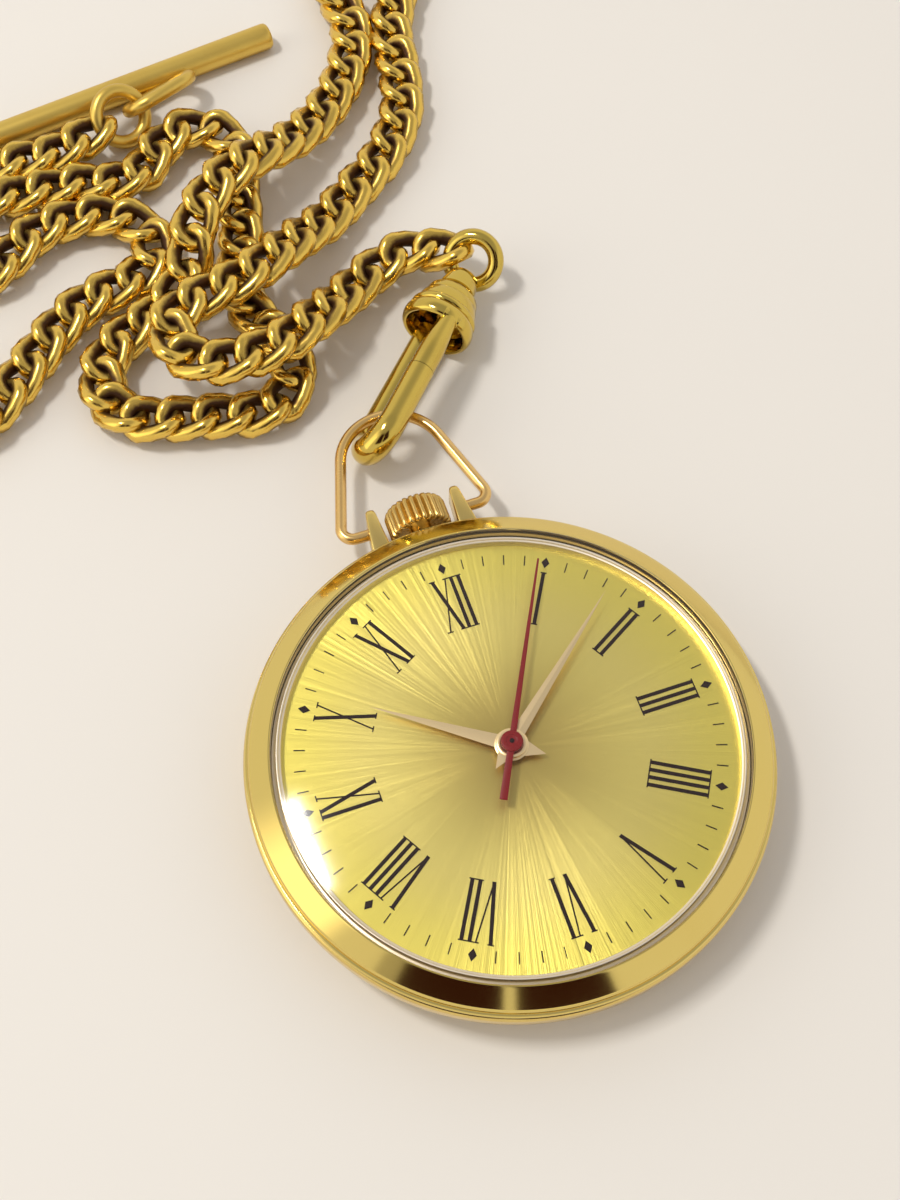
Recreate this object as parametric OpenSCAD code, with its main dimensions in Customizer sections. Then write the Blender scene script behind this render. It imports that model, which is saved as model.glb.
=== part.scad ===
// Open-face pocket watch with its hand-wound movement, bow, clasp and curb chain.
// Millimetres. The origin lies on the table under the dial's centre: +Z is up through the dial,
// +Y points to twelve o'clock and the crown, +X points to three o'clock.

/* [Case] */
// Outside diameter of the case band
case_d = 42; // [41:0.5:46]
// Distance from the case's widest line in to the flat that the watch rests on
rest_step = 8; // [6.5:0.5:9.5]
// Wall of the case back
back_t = 0.9; // [0.7:0.1:1]
// Height of the seam between case back and band
back_seam_z = 1.9; // [1.8:0.1:2.1]
// Height of the seam between band and bezel
bezel_seam_z = 5.4; // [5.3:0.1:5.9]
// Height of the bezel above its seam
bezel_h = 1.8; // [1.6:0.1:2.2]
// Width of the bezel from its outer edge to the crystal
bezel_w = 2.25; // [2.1:0.05:2.6]
// Width of the snap rim on the case back
snap_w = 0.6; // [0.5:0.1:0.8]
// Height of the snap rim on the case back
snap_h = 0.8; // [0.6:0.1:0.9]

/* [Crystal and dial] */
// Thickness of the crystal's dome
crystal_t = 0.6; // [0.5:0.05:0.7]
// Rise of the crystal above the bezel's top
crystal_rise = 2.4; // [2.3:0.1:3.2]
// Height of the crystal's upright edge above the bezel's top
crystal_edge = 0.45; // [0.4:0.05:0.6]
// Wall of the crystal's foot in the bezel
crystal_wall = 0.36; // [0.3:0.02:0.4]
// Height of the tension ring inside the crystal's foot
tension_h = 0.8; // [0.5:0.1:1]
// Thickness of the dial
dial_t = 0.4; // [0.3:0.05:0.5]
// Thickness of the dial's printed marks
print_t = 0.03; // [0.02:0.01:0.05]
// Distance from the dial's edge in to the numerals' outer ends
numeral_gap = 3; // [2.9:0.1:3.6]
// Height of the numerals
numeral_h = 4.85; // [4:0.05:5.2]
// Width of a numeral's thick stroke
stroke_w = 0.3; // [0.2:0.02:0.36]
// Distance from the dial's edge in to the middle of the diamond hour marks
diamond_gap = 2.1; // [1.8:0.1:2.2]
// Length of a minute tick
tick_l = 0.9; // [0.5:0.1:1.1]

/* [Hands] */
// Distance from the dial's edge in to the hour hand's tip
hour_gap = 7.1; // [6:0.1:9]
// Distance from the dial's edge in to the minute hand's tip
minute_gap = 3.1; // [2.7:0.1:5]
// Distance from the dial's edge in to the seconds hand's tip
second_gap = 2.5; // [2.4:0.1:4]
// Length of the seconds hand's tail
second_tail = 4.8; // [3:0.1:6]
// Thickness of the hour and minute hands
hand_t = 0.16; // [0.1:0.02:0.2]

/* [Crown and bow] */
// Diameter of the crown
crown_d = 5.4; // [4.6:0.1:5.6]
// Length of the crown
crown_l = 2.7; // [2.4:0.1:3.2]
// Number of flutes round the crown
crown_flutes = 26; // [18:1:30]
// Travel of the crown from winding to setting
crown_pull = 1; // [0.8:0.1:1]
// Diameter of the winding stem
stem_d = 1; // [0.9:0.05:1.1]
// Diameter of the bow's wire
bow_wire = 1; // [0.8:0.05:1.1]
// Height of the bow from its pivots to the top of its arch
bow_h = 11; // [10:0.2:13]
// Radius of the bow's arch
arch_r = 4.7; // [4:0.1:5]
// Radius of the bow's lower corners
bow_corner = 1; // [0.8:0.1:1.4]
// Lean of the bow's legs
bow_lean = 17; // [10:1:20]
// Half the distance between the two bow posts
post_x = 3.75; // [3.7:0.05:4.2]
// Width of a bow post at its root
post_w = 1.5; // [1.3:0.1:1.7]

/* [Movement] */
// Diameter of the main plate
plate_d = 25.6; // [25.4:0.1:26.4]
// Thickness of the bridges
bridge_t = 0.65; // [0.55:0.05:0.7]
// Outside diameter of the balance on a plate of 25.6 mm
balance_plan_d = 7; // [6:0.1:7.2]
// Thickness of the mainspring's blade
mainspring_t = 0.12; // [0.08:0.02:0.16]
// Thickness of the hairspring's blade
hairspring_t = 0.06; // [0.04:0.01:0.08]

/* [Clasp and chain] */
// Diameter of the clasp hook's wire
hook_wire = 2.3; // [2:0.1:2.4]
// Largest diameter of the clasp's collar
collar_d = 6.6; // [6:0.1:6.8]
// Length of the clasp's collar
collar_l = 4.6; // [4:0.1:5]
// Diameter of a chain link's wire
link_wire = 1.1; // [0.9:0.05:1.15]
// Outside length of a chain link
link_l = 6.1; // [6:0.05:6.4]
// Outside width of a chain link
link_w = 4.6; // [4.4:0.05:4.8]
// Distance from one link to the next along the chain
link_pitch = 3.2; // [3.1:0.05:3.3]
// Number of chain links
link_count = 110; // [104:2:110]
// Diameter of the T-bar
tbar_d = 2.6; // [2.2:0.1:2.8]
// Length of the T-bar
tbar_l = 33; // [28:1:36]

/* [Hidden] */
$fn = 64;
eps = 0.01;      // overshoot of cutters
slip = 0.03;     // radial clearance of seated pieces
run = 0.05;      // clearance of running pieces
weld = 0.03;     // rise of a soldered joint over its wires

// Case levels and radii
case_r = case_d / 2;
rest_r = case_r - rest_step;
girth_z = bezel_seam_z - 0.5;
seam_r = rest_r + (case_r - rest_r) * sqrt(1 - pow(1 - back_seam_z / girth_z, 2));
snap_r = seam_r - 0.7;
seal_w = 0.4;
seal_h = 0.3;
bezel_in_r = case_r - bezel_w;
bezel_top = bezel_seam_z + bezel_h;
dial_r = bezel_in_r - run;
dial_z0 = bezel_seam_z + 0.2;
dial_top = dial_z0 + dial_t;
case_bore_r = dial_r - 0.3;
neck_in_r = dial_r + run;
neck_out_r = neck_in_r + 0.75;
neck_top = dial_top;
crystal_r = bezel_in_r - slip;
dome_rise = crystal_rise - crystal_edge;
dome_r = (pow(crystal_r, 2) + pow(dome_rise, 2)) / (2 * dome_rise);
crystal_foot = dial_top + 0.1;
tension_out = crystal_r - crystal_wall - slip;
tension_in = tension_out - 0.4;

// Movement levels, hung from the top face of the main plate
plate_r = plate_d / 2;
plan = plate_r / 12.8;     // the movement's plan was drawn for a plate of this radius
plate_top = dial_z0 - run;
plate_z0 = plate_top - 1.2;
skirt_w = 0.8;
skirt_in = plate_r - skirt_w;
bridge_top = plate_top - 2.8;
bridge_z0 = bridge_top - bridge_t;
stem_z = plate_top - 2.1;
barrel_z0 = plate_top - 1.75;
barrel_z1 = plate_top - 0.85;
motion_z = plate_top - 0.65;
keyless_t = 0.2;
pivot_r = 0.1;
arbor_r = 0.16;
jewel_r = 0.58;
jewel_t = 0.45;
jewel_set = 0.1;
screw_r = 0.22;
head_r = 0.5;
head_h = 0.3;
wide_head_r = 0.9;
wide_head_h = 0.35;
flat_head_h = 0.22;
small_head_r = 0.45;
pallet_head_r = 0.42;
pallet_head_h = 0.08;

// Wheel train: tooth counts, modules and places
barrel_n = 72;
barrel_m = 0.15 * plan;
centre_pn = 12;
centre_n = 64;
centre_m = 0.105 * plan;
third_pn = 8;
third_n = 60;
fourth_pn = 8;
fourth_n = 70;
fourth_m = 0.1 * plan;
escape_pn = 7;
escape_n = 15;
escape_r = 2.2 * plan;
third_d = (centre_n + third_pn) * centre_m / 2;
third_m = 2 * third_d / (third_n + fourth_pn);
third_at = third_d * [-cos(30), sin(30)];
escape_d = (fourth_n + escape_pn) * fourth_m / 2;
escape_at = escape_d * [-sin(20), -cos(20)];
barrel_dist = (barrel_n + centre_pn) * barrel_m / 2;
barrel_at = barrel_dist * [cos(32.6), sin(32.6)];
lever_dir = [0.6187, -0.7857];
lever_a = atan2(lever_dir[1], lever_dir[0]);
pallet_dist = 2.6 * plan;
fork_dist = 3 * plan;
pallet_at = escape_at + pallet_dist * lever_dir;
balance_at = pallet_at + fork_dist * lever_dir;
drum_r = 5 * plan;
centre_z = plate_top - 2.02;
centre_t = 0.18;
third_z = plate_top - 2.36;
third_t = 0.16;
fourth_z = plate_top - 2.68;
fourth_t = 0.16;
escape_z = plate_top - 1.68;
escape_t = 0.18;
balance_z = plate_top - 2.45;
balance_t = 0.35;
hairspring_z = plate_top - 2.75;
hairspring_h = 0.2;
pivot_z0 = bridge_z0 + 0.15;
pivot_z1 = plate_z0 + 0.5;

// Motion work and keyless work
motion_m = 0.13 * plan;
cannon_n = 12;
minute_n = 36;
minute_pn = 10;
hour_n = 40;
minute_dist = (cannon_n + minute_n) * motion_m / 2;
hour_m = 2 * minute_dist / (hour_n + minute_pn);
minute_at = minute_dist * [-cos(65), sin(65)];
setting_n = 24;
setting_dist = (setting_n + minute_n) * motion_m / 2;
setting_at = [0, minute_at[1] + sqrt(pow(setting_dist, 2) - pow(minute_at[0], 2))];
ratchet_n = 40;
crown_n = 27;
ratchet_m = 0.2 * plan;
ratchet_z = bridge_z0 - 0.5;
ratchet_t = 0.4;
ratchet_dist = (ratchet_n + crown_n) * ratchet_m / 2;
crown_wheel_at = [0, barrel_at[1] + sqrt(pow(ratchet_dist, 2) - pow(barrel_at[0], 2))];
pinion_r = 1.35;
groove_y = skirt_in - 1.25;
sliding_y = [groove_y - 2.05, groove_y - 1.1];
winding_y = [groove_y - 1.05, groove_y - 0.35];
groove_w = 0.5;
groove_r = 0.3;
pilot_r = 0.28;
pilot_y = groove_y - 5.15;
square_y = groove_y - 3.65;
square_w = 0.62;
lever_pivot = [2.4 * plan, groove_y + crown_pull / 2];
yoke_groove_y = groove_y - 1.55;
yoke_shift = 0.6;
yoke_pivot = [-3.2 * plan, yoke_groove_y - yoke_shift / 2];
stem_r = stem_d / 2;
key_post_r = 0.3;
minute_stud_r = 0.25;
setting_stud_r = 0.35;

// Hands over the dial
numeral_r = dial_r - numeral_gap;
diamond_r = dial_r - diamond_gap;
hour_l = dial_r - hour_gap;
minute_l = dial_r - minute_gap;
second_l = dial_r - second_gap;
hour_z = dial_top + 0.6;
minute_z = dial_top + 0.95;
second_z = dial_top + 1.3;
hour_a = 145.2;
minute_a = 40.2;
second_a = 62.2;
tube_bore = 0.22;
seconds_r = 0.17;
centre_tube_r = 0.42;
cannon_r = 0.6;
hour_pipe_r = 0.85;
dial_hole_r = hour_pipe_r + 0.1;

// Crown, posts and bow
crown_y = case_r + 0.6;
crown_r = crown_d / 2;
tube_r = 1;
tube_end = crown_y + 1.5;
recess_r = tube_r + 0.36;
recess_d = 1.65;
post_top_w = 0.8;
post_end = case_r + 3.8;
post_h = 2.2;
bow_y = case_r + 1.9;
bow_r = bow_wire / 2;
bow_in = post_x - 0.5;
bow_top = bow_y + bow_h;
arch_y = bow_h - arch_r;
bow_shoulder = arch_r * [cos(bow_lean), sin(bow_lean)] + [0, arch_y];
bow_foot_y = bow_corner * (1 + sin(bow_lean));
bow_foot = [bow_shoulder[0] + (bow_shoulder[1] - bow_foot_y) * tan(bow_lean), bow_foot_y];
bow_corner_x = bow_foot[0] - bow_corner * cos(bow_lean);

// Clasp: u runs from the hook's nose to the swivel, v across the hook
clasp_a = 47;
clasp_tilt = 60;
clasp_at = [1.05, bow_top - 0.05, stem_z];
hook_r = hook_wire / 2;
hook_gap = 2.35;
nose_u = -1.6;
seam_u = 4.2;
seam_gap = 0.1;
hook_lean = 3.5;
collar_u = 9.6;
hook_depth = 1;
hook_start = [nose_u + hook_gap * sin(hook_lean), hook_gap * cos(hook_lean), 0];
hook_end = hook_start + (collar_u + hook_depth - hook_start[0]) * [1, -tan(hook_lean), 0];
gate_r = hook_r - run;
knuckle_h = 2 * gate_r - 0.4;
gate_pin = [collar_u + 0.8, -2.5, 0];
gate_pin_r = 0.35;
gate_pin_l = 3.8;
gate_room = 0.4;
collar_top_d = 4.8;
spindle_r = 1.2;
swivel_u = collar_u + collar_l + 4.4;
swivel_ring_r = 2.2;
swivel_wire_r = 0.7;

// Chain route on the table, from the swivel to the T-bar's ring: the strands' heaps lie two deep
low = 1.84;
high = 5.7;
route = [
    [11.4, 49.45, 3.45], [8.3, 50.9, 2.7], [4.6, 50, 2.3], [1.4, 47.8, 3], [-1.8, 45.2, 4.8],
    [-5.4, 43, high], [-9.2, 42.3, high], [-12.8, 42.8, high], [-15, 45.3, high],
    [-14.2, 48.5, high], [-11, 49.9, high], [-7.2, 50.8, high], [-3.6, 52.7, 5.2],
    [-0.4, 55.2, 3.6], [2.6, 57.4, 2.3], [6, 60.2, low], [10.4, 63.8, low], [13.6, 68.4, low],
    [15, 73.4, low], [15.8, 78.2, low], [17.4, 82.2, low], [19.4, 86, low], [18.7, 89.3, low],
    [15.8, 90.9, low], [12.9, 89.5, low], [12, 86, low], [12.3, 82, low], [11.6, 78.4, low],
    [9.2, 74, low], [5.6, 70, 2.15], [1.6, 66.6, 3.6], [-2.6, 64, 5.6], [-6.8, 61.6, 5.9],
    [-9.9, 58.2, 5.2], [-11.8, 54.6, 3.6], [-14.8, 52.4, 2.2], [-18.2, 51, low], [-21.2, 48.6, low],
    [-22.2, 45, low], [-20.4, 41.9, low], [-16.4, 40.4, low], [-12.2, 39.4, low], [-9.1, 38.9, low],
    [-6.4, 40.2, low], [-5.4, 43, low], [-6.1, 46.4, low], [-7.5, 50.4, low], [-7.3, 53.6, low],
    [-6, 57.6, low], [-5, 61.6, low], [-4.3, 65.2, low], [-3.6, 68.6, low], [-4.6, 71.6, low],
    [-7.6, 72.75, low], [-10.5, 71.2, low], [-12.7, 69, low], [-15.7, 68.5, low],
    [-18.9, 69.4, low], [-22.2, 69.8, low], [-25.6, 70, low], [-29, 69.9, low], [-32.2, 68.5, low],
    [-33.8, 65.6, low], [-32.7, 62.4, low], [-29.7, 61.4, low], [-26.9, 63, low],
    [-23.8, 64.9, low], [-20.2, 65.4, low], [-16.8, 64.5, low], [-14.3, 62.1, low],
    [-14.1, 58.9, low], [-16.6, 56.6, low], [-21, 55.6, low], [-25, 53, low], [-28.6, 49.6, low],
    [-32, 46.7, low], [-35.42, 45.3, low], [-38.24, 46.4, low], [-39.74, 49.2, low],
    [-40.04, 53.2, low], [-39.52, 58.6, low], [-38.8, 63.8, low], [-37.3, 68.8, low],
    [-34.4, 72.8, low], [-30.2, 74.3, low], [-26.6, 74, low], [-23.2, 73.6, 2.1],
    [-19.8, 73.4, 2.35], [-16.35, 74.51, 2.45], [-11.9, 76.31, 2.45]
];
link_r = link_wire / 2;
tring_r = 2.45;
tring_wire_r = 0.65;
eye_l = 8.4;
eye_w = 5.3;
link_slack = 0.1;

gold = [0.83, 0.69, 0.34];
old_gold = [0.72, 0.56, 0.2];
steel = [0.72, 0.73, 0.75];
brass = [0.8, 0.68, 0.4];
ruby = [0.75, 0.1, 0.2];
ink = [0.13, 0.07, 0.05];

// Shared shapes

module at(p, z = 0) {
    translate([p[0], p[1], z]) children();
}

// Tube or washer standing on the plane z = 0
module ring(ro, ri, h) {
    difference() {
        cylinder(r = ro, h = h);
        translate([0, 0, -eps]) cylinder(r = ri, h = h + 2 * eps);
    }
}

// Cylinder along +Y from y0 to y1
module rod_y(r, y0, y1) {
    translate([0, y0, 0]) rotate([-90, 0, 0]) cylinder(r = r, h = y1 - y0);
}

// Straight round bar between two points
module bar(a, b, r) {
    d = b - a;
    translate(a) rotate([0, acos(d[2] / norm(d)), atan2(d[1], d[0])]) cylinder(r = r, h = norm(d));
}

// Trapezoid teeth; the first tooth points along +X
function tooth_points(n, m) = [
    for (i = [0 : n - 1], c = [[-0.3, -1.1], [-0.14, 0.75], [0.14, 0.75], [0.3, -1.1]])
        let (r = n * m / 2 + c[1] * m, a = (i + c[0]) * 360 / n) r * [cos(a), sin(a)]
];

module gear(n, m, h, bore, turn = 0) {
    difference() {
        rotate(turn) linear_extrude(h) polygon(tooth_points(n, m));
        translate([0, 0, -eps]) cylinder(r = bore, h = h + 2 * eps);
    }
}

// Spoked wheel: a toothed rim on crossed arms
module train_wheel(n, m, h, bore, arms, turn = 0) {
    root = n * m / 2 - 1.1 * m;
    difference() {
        gear(n, m, h, bore, turn);
        for (i = [0 : arms - 1]) rotate(i * 360 / arms) translate([0, 0, -eps])
            linear_extrude(h + 2 * eps) intersection() {
                difference() {
                    circle(r = root - 0.3);
                    circle(r = 0.9);
                }
                polygon([[0, 0], sector_point(16, root), sector_point(360 / arms / 2, root),
                    sector_point(360 / arms - 16, root)]);
            }
    }
}

function sector_point(a, r) = 2 * r * [cos(a), sin(a)];

// Arbor with thin pivots at both ends
module arbor(z0, z1, r = arbor_r) {
    translate([0, 0, z0]) cylinder(r = pivot_r, h = z1 - z0);
    translate([0, 0, bridge_top + run]) cylinder(r = r, h = plate_z0 - bridge_top - 2 * run);
}

// Flat spiral blade from radius r0 to r1
function spiral_points(r0, r1, turns, t, steps) = concat(
    [for (i = [0 : steps]) spiral_point(i / steps, r0, r1, turns, t / 2)],
    [for (i = [steps : -1 : 0]) spiral_point(i / steps, r0, r1, turns, -t / 2)]
);
function spiral_point(f, r0, r1, turns, side) =
    let (a = 360 * turns * f) (r0 + (r1 - r0) * f + side) * [cos(a), sin(a)];

// Cheese-head screw standing head down, its shank upwards from z = 0
module screw(shank, r = screw_r, hr = head_r, hh = head_h) {
    cylinder(r = r, h = shank);
    difference() {
        translate([0, 0, -hh]) cylinder(r = hr, h = hh);
        translate([-hr, -0.06, -hh - eps]) cube([2 * hr, 0.12, hh / 3]);
    }
}

// Round link lying in the XY plane: two straight sides and two half rings, long along X
module link(l, w, r) {
    side = (w - 2 * r) / 2;
    run_l = (l - w) / 2;
    for (s = [-1, 1]) {
        translate([-run_l, s * side, 0]) rotate([0, 90, 0]) cylinder(r = r, h = 2 * run_l);
        translate([s * run_l, 0, 0]) rotate(s * 90 - 180)
            wire_arc(side, 180, r);
    }
}

// Bent wire: part of a ring round the origin, from +X on
module wire_arc(bend_r, a, r) {
    rotate_extrude(angle = a) translate([bend_r, 0]) circle(r = r);
}

// Case

// Outline of the case's side at a height: a quarter ellipse from the flat to the widest line
function side_r(z) = rest_r + (case_r - rest_r) * sqrt(1 - pow(1 - min(z, girth_z) / girth_z, 2));
function side_points(z0, z1, n) = [
    for (i = [0 : n]) let (z = z0 + (z1 - z0) * i / n) [side_r(z), z]
];

module case_back() {
    color(gold) rotate_extrude() polygon(concat(
        [[0, 0]],
        [for (f = [0, 0.02, 0.08, 0.2, 0.38, 0.6, 0.8, 1]) [side_r(f * back_seam_z), f * back_seam_z]],
        [[snap_r, back_seam_z], [snap_r, back_seam_z + snap_h], [snap_r - snap_w, back_seam_z + snap_h],
            [snap_r - snap_w, back_seam_z], [rest_r + 2, back_t], [0, back_t]]
    ));
}

module back_seal() {
    color("dimgray") translate([0, 0, back_seam_z]) ring(snap_r + slip + seal_w, snap_r + slip, seal_h);
}

module case_middle() {
    color(gold) difference() {
        union() {
            rotate_extrude() polygon(concat(
                [[snap_r + slip, back_seam_z]],
                side_points(back_seam_z, girth_z, 6),
                [[case_r, bezel_seam_z - 0.1], [case_r - 0.1, bezel_seam_z], [neck_out_r, bezel_seam_z],
                    [neck_out_r, neck_top], [neck_in_r, neck_top], [neck_in_r, dial_z0],
                    [case_bore_r, dial_z0], [case_bore_r, back_seam_z + snap_h + 0.1],
                    [snap_r + slip, back_seam_z + snap_h + 0.1]]
            ));
            for (s = [-1, 1]) translate([0, 0, stem_z - post_h / 2]) linear_extrude(post_h)
                bow_post_plan(s);
        }
        translate([0, 0, back_seam_z - eps])
            ring(snap_r + 2 * slip + seal_w, snap_r - 1, seal_h + slip + eps);
        translate([0, 0, stem_z]) rod_y(tube_r + slip, case_bore_r - 1, case_r + 1);
        translate([-post_x - 3, bow_y, stem_z]) rotate([0, 90, 0])
            cylinder(r = bow_r + run, h = 2 * post_x + 6);
    }
}

module bow_post_plan(s) {
    polygon([[s * (post_x - post_w / 2), case_r - 0.8], [s * (post_x + post_w / 2 + 0.3), case_r - 0.8],
        [s * (post_x + post_top_w / 2), post_end - 0.3], [s * post_x, post_end],
        [s * (post_x - post_top_w / 2), post_end - 0.3]]);
}

module bezel() {
    lip = 0.15;
    color(gold) rotate_extrude() polygon([
        [neck_out_r + slip, bezel_seam_z], [case_r - 0.1, bezel_seam_z], [case_r, bezel_seam_z + 0.12],
        [case_r - 0.12, bezel_seam_z + 0.35], [bezel_in_r + lip, bezel_top],
        [bezel_in_r, bezel_top - lip], [bezel_in_r, neck_top + slip], [neck_out_r + slip, neck_top + slip]
    ]);
}

module crystal() {
    color("lightcyan", 0.3) rotate_extrude() {
        translate([crystal_r - crystal_wall, crystal_foot])
            square([crystal_wall, bezel_top + crystal_edge - crystal_foot]);
        intersection() {
            translate([0, bezel_top + crystal_rise - dome_r]) difference() {
                circle(r = dome_r, $fn = 128);
                circle(r = dome_r - crystal_t, $fn = 128);
            }
            translate([0, bezel_top + crystal_edge - crystal_t / 2]) square([crystal_r, crystal_rise]);
        }
    }
}

module tension_ring() {
    color(gold) translate([0, 0, dial_top]) ring(tension_out, tension_in, tension_h);
}

module movement_ring() {
    wall = 0.8;
    stem_room = stem_r + 0.2;
    color("silver") difference() {
        translate([0, 0, bridge_top]) ring(case_bore_r - slip, plate_r + slip, plate_top - bridge_top);
        translate([0, 0, bridge_top - eps])
            ring(case_bore_r - slip - wall, plate_r + slip + wall, plate_top - bridge_top - wall);
        translate([-stem_room, plate_r - 1, bridge_top - eps])
            cube([2 * stem_room, case_bore_r - plate_r + 2, stem_z - bridge_top + stem_room]);
        for (a = case_screw_a) rotate(a) translate([plate_r + slip + wall / 2, 0, bridge_top - eps])
            cylinder(r = screw_r + slip, h = 1.2);
    }
}

case_screw_a = [132, 338];

module case_screws() {
    color(steel) for (a = case_screw_a) rotate(a)
        translate([plate_r + slip + 0.4, 0, bridge_top]) screw(1, hr = wide_head_r, hh = wide_head_h);
}

// Crown, stem and bow

module pendant_tube() {
    color(gold) translate([0, 0, stem_z]) difference() {
        rod_y(tube_r, snap_r + 0.1, tube_end);
        rod_y(stem_r + run, case_bore_r - 1, tube_end + 1);
    }
}

module crown() {
    dome = 0.5;
    groove = 0.22;
    color(gold) translate([0, crown_y, stem_z]) difference() {
        rotate([-90, 0, 0]) rotate_extrude() polygon([
            [0, 0], [crown_r - 0.25, 0], [crown_r, 0.25], [crown_r, crown_l - dome],
            [crown_r - 0.35, crown_l - 0.15], [crown_r - 0.9, crown_l], [0, crown_l]
        ]);
        for (i = [0 : crown_flutes - 1]) rotate([0, i * 360 / crown_flutes, 0])
            translate([crown_r + groove / 3, 0, 0]) rod_y(groove, -1, crown_l - dome / 2);
        rod_y(recess_r, -1, recess_d);
        rod_y(stem_r - slip, 0, recess_d + 0.75);
    }
}

module crown_seal() {
    color("dimgray") translate([0, crown_y + 0.15, stem_z]) rotate([-90, 0, 0])
        ring(recess_r - slip, tube_r + slip, 0.3);
}

module winding_stem() {
    thread_r = stem_r - 2 * slip;
    color(steel) translate([0, 0, stem_z]) {
        rod_y(pilot_r, pilot_y, square_y);
        translate([-square_w / 2, square_y, -square_w / 2])
            cube([square_w, winding_y[0] - square_y, square_w]);
        rod_y(stem_r, winding_y[0], groove_y - groove_w / 2);
        rod_y(groove_r, groove_y - groove_w / 2, groove_y + groove_w / 2);
        rod_y(stem_r, groove_y + groove_w / 2, crown_y + recess_d - 0.1);
        rod_y(thread_r, crown_y + recess_d - 0.1, crown_y + recess_d + 0.7);
    }
}

module bow() {
    color(gold) translate([0, bow_y, stem_z]) {
        translate([0, arch_y, 0]) rotate(bow_lean) wire_arc(arch_r, 180 - 2 * bow_lean, bow_r);
        for (side = [0, 1]) mirror([side, 0, 0]) {
            bar([bow_foot[0], bow_foot[1], 0], [bow_shoulder[0], bow_shoulder[1], 0], bow_r);
            at(bow_shoulder) sphere(r = bow_r + weld);
            at(bow_foot) sphere(r = bow_r + weld);
            translate([bow_corner_x, bow_corner, 0]) rotate(-90) wire_arc(bow_corner, 90 + bow_lean, bow_r);
            bar([bow_in, 0, 0], [bow_corner_x, 0, 0], bow_r);
        }
    }
}

// Dial and hands

foot_at = [[8.5, -6.5], [-9, -4.5]];
foot_r = 0.35;
foot_l = 0.6;

module dial() {
    color([0.86, 0.78, 0.42]) {
        translate([0, 0, dial_z0]) ring(dial_r, dial_hole_r, dial_t);
        for (p = foot_at) at(p, dial_z0 - foot_l) cylinder(r = foot_r, h = foot_l + eps);
    }
}

// One leaning stroke of a numeral, from x0 at the foot to x1 at the head
module stroke(x0, x1, w) {
    polygon([[x0 - w / 2, 0], [x0 + w / 2, 0], [x1 + w / 2, numeral_h], [x1 - w / 2, numeral_h]]);
}

thin_w = 0.12;
bar_step = 0.62;
serif_t = 0.1;
serif_w = 0.5;
glyph_w = 1.15;

// Strokes of the letters I, V and X, drawn with the foot at the origin's height
module glyph(c) {
    if (c == "I") stroke(0, 0, stroke_w);
    if (c == "V") {
        stroke(0, -glyph_w / 2, stroke_w);
        stroke(0, glyph_w / 2, thin_w);
    }
    if (c == "X") {
        stroke(glyph_w / 2, -glyph_w / 2, stroke_w);
        stroke(-glyph_w / 2, glyph_w / 2, thin_w);
    }
    half = c == "I" ? [0] : [-glyph_w / 2, glyph_w / 2];
    for (x = half) serif(x, x, numeral_h - serif_t);
    if (c != "V") for (x = half) serif(x, x, 0);
}

// Thin bar across the ends of the strokes from x0 to x1
module serif(x0, x1, y) {
    translate([x0 - serif_w / 2, y]) square([x1 - x0 + serif_w, serif_t]);
}

function advance(c) = c == "I" ? bar_step : glyph_w + 0.3;
function lead_width(word, i) = i <= 0 ? 0 : lead_width(word, i - 1) + advance(word[i - 1]);
function middle(word, i) = lead_width(word, i) + advance(word[i]) / 2;
function right_end(word, i) = middle(word, i) + (word[i] == "I" ? 0 : glyph_w / 2);

module numeral(word) {
    translate([-lead_width(word, len(word)) / 2, 0]) {
        for (i = [0 : len(word) - 1]) translate([middle(word, i), 0]) glyph(word[i]);
        if (len(word) > 1) for (i = [1 : len(word) - 1]) if (word[i] == "I") {
            serif(right_end(word, i - 1), middle(word, i), numeral_h - serif_t);
            if (word[i - 1] != "V") serif(right_end(word, i - 1), middle(word, i), 0);
        }
    }
}

words = ["XII", "I", "II", "III", "IIII", "V", "VI", "VII", "VIII", "IX", "X", "XI"];

module dial_print() {
    tick_w = 0.09;
    diamond = [0.33, 0.5];
    color(ink) translate([0, 0, dial_top]) linear_extrude(print_t) {
        for (h = [0 : 11]) rotate(-30 * h) {
            translate([0, numeral_r - numeral_h]) numeral(words[h]);
            translate([0, diamond_r])
                polygon([[diamond[0], 0], [0, diamond[1]], [-diamond[0], 0], [0, -diamond[1]]]);
        }
        for (m = [0 : 59]) if (m % 5 != 0) rotate(-6 * m)
            translate([-tick_w / 2, diamond_r - diamond[1]]) square([tick_w, tick_l]);
    }
}

// Dauphine hand along +X with a round eye and a pointed tail
module hand_plan(l, w, tail, eye) {
    circle(r = eye);
    polygon([[0, -w / 2], [l, 0], [0, w / 2]]);
    polygon([[0, -eye * 0.8], [0, eye * 0.8], [-tail, 0]]);
}

module hour_hand() {
    color([0.86, 0.7, 0.45]) at([0, 0], hour_z) rotate(hour_a) difference() {
        linear_extrude(hand_t) hand_plan(hour_l, 1.15, 2.8, 1.35);
        translate([0, 0, -eps]) cylinder(r = hour_pipe_r + slip / 2, h = 1);
    }
}

module minute_hand() {
    color([0.86, 0.7, 0.45]) at([0, 0], minute_z) rotate(minute_a) difference() {
        linear_extrude(hand_t) hand_plan(minute_l, 1.05, 2.5, 1.2);
        translate([0, 0, -eps]) cylinder(r = cannon_r + slip / 2, h = 1);
    }
}

module second_hand() {
    cap_r = 0.87;
    color([0.6, 0.1, 0.08]) at([0, 0], second_z) rotate(second_a) difference() {
        union() {
            linear_extrude(0.1) polygon([[second_l, -0.08], [second_l, 0.08], [0, 0.16],
                [-second_tail, 0.31], [-second_tail, -0.31], [0, -0.16]]);
            cylinder(r = cap_r, h = 0.3);
        }
        translate([0, 0, -eps]) cylinder(r = seconds_r + slip / 2, h = 0.2);
    }
}

// Plate and bridges

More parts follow.
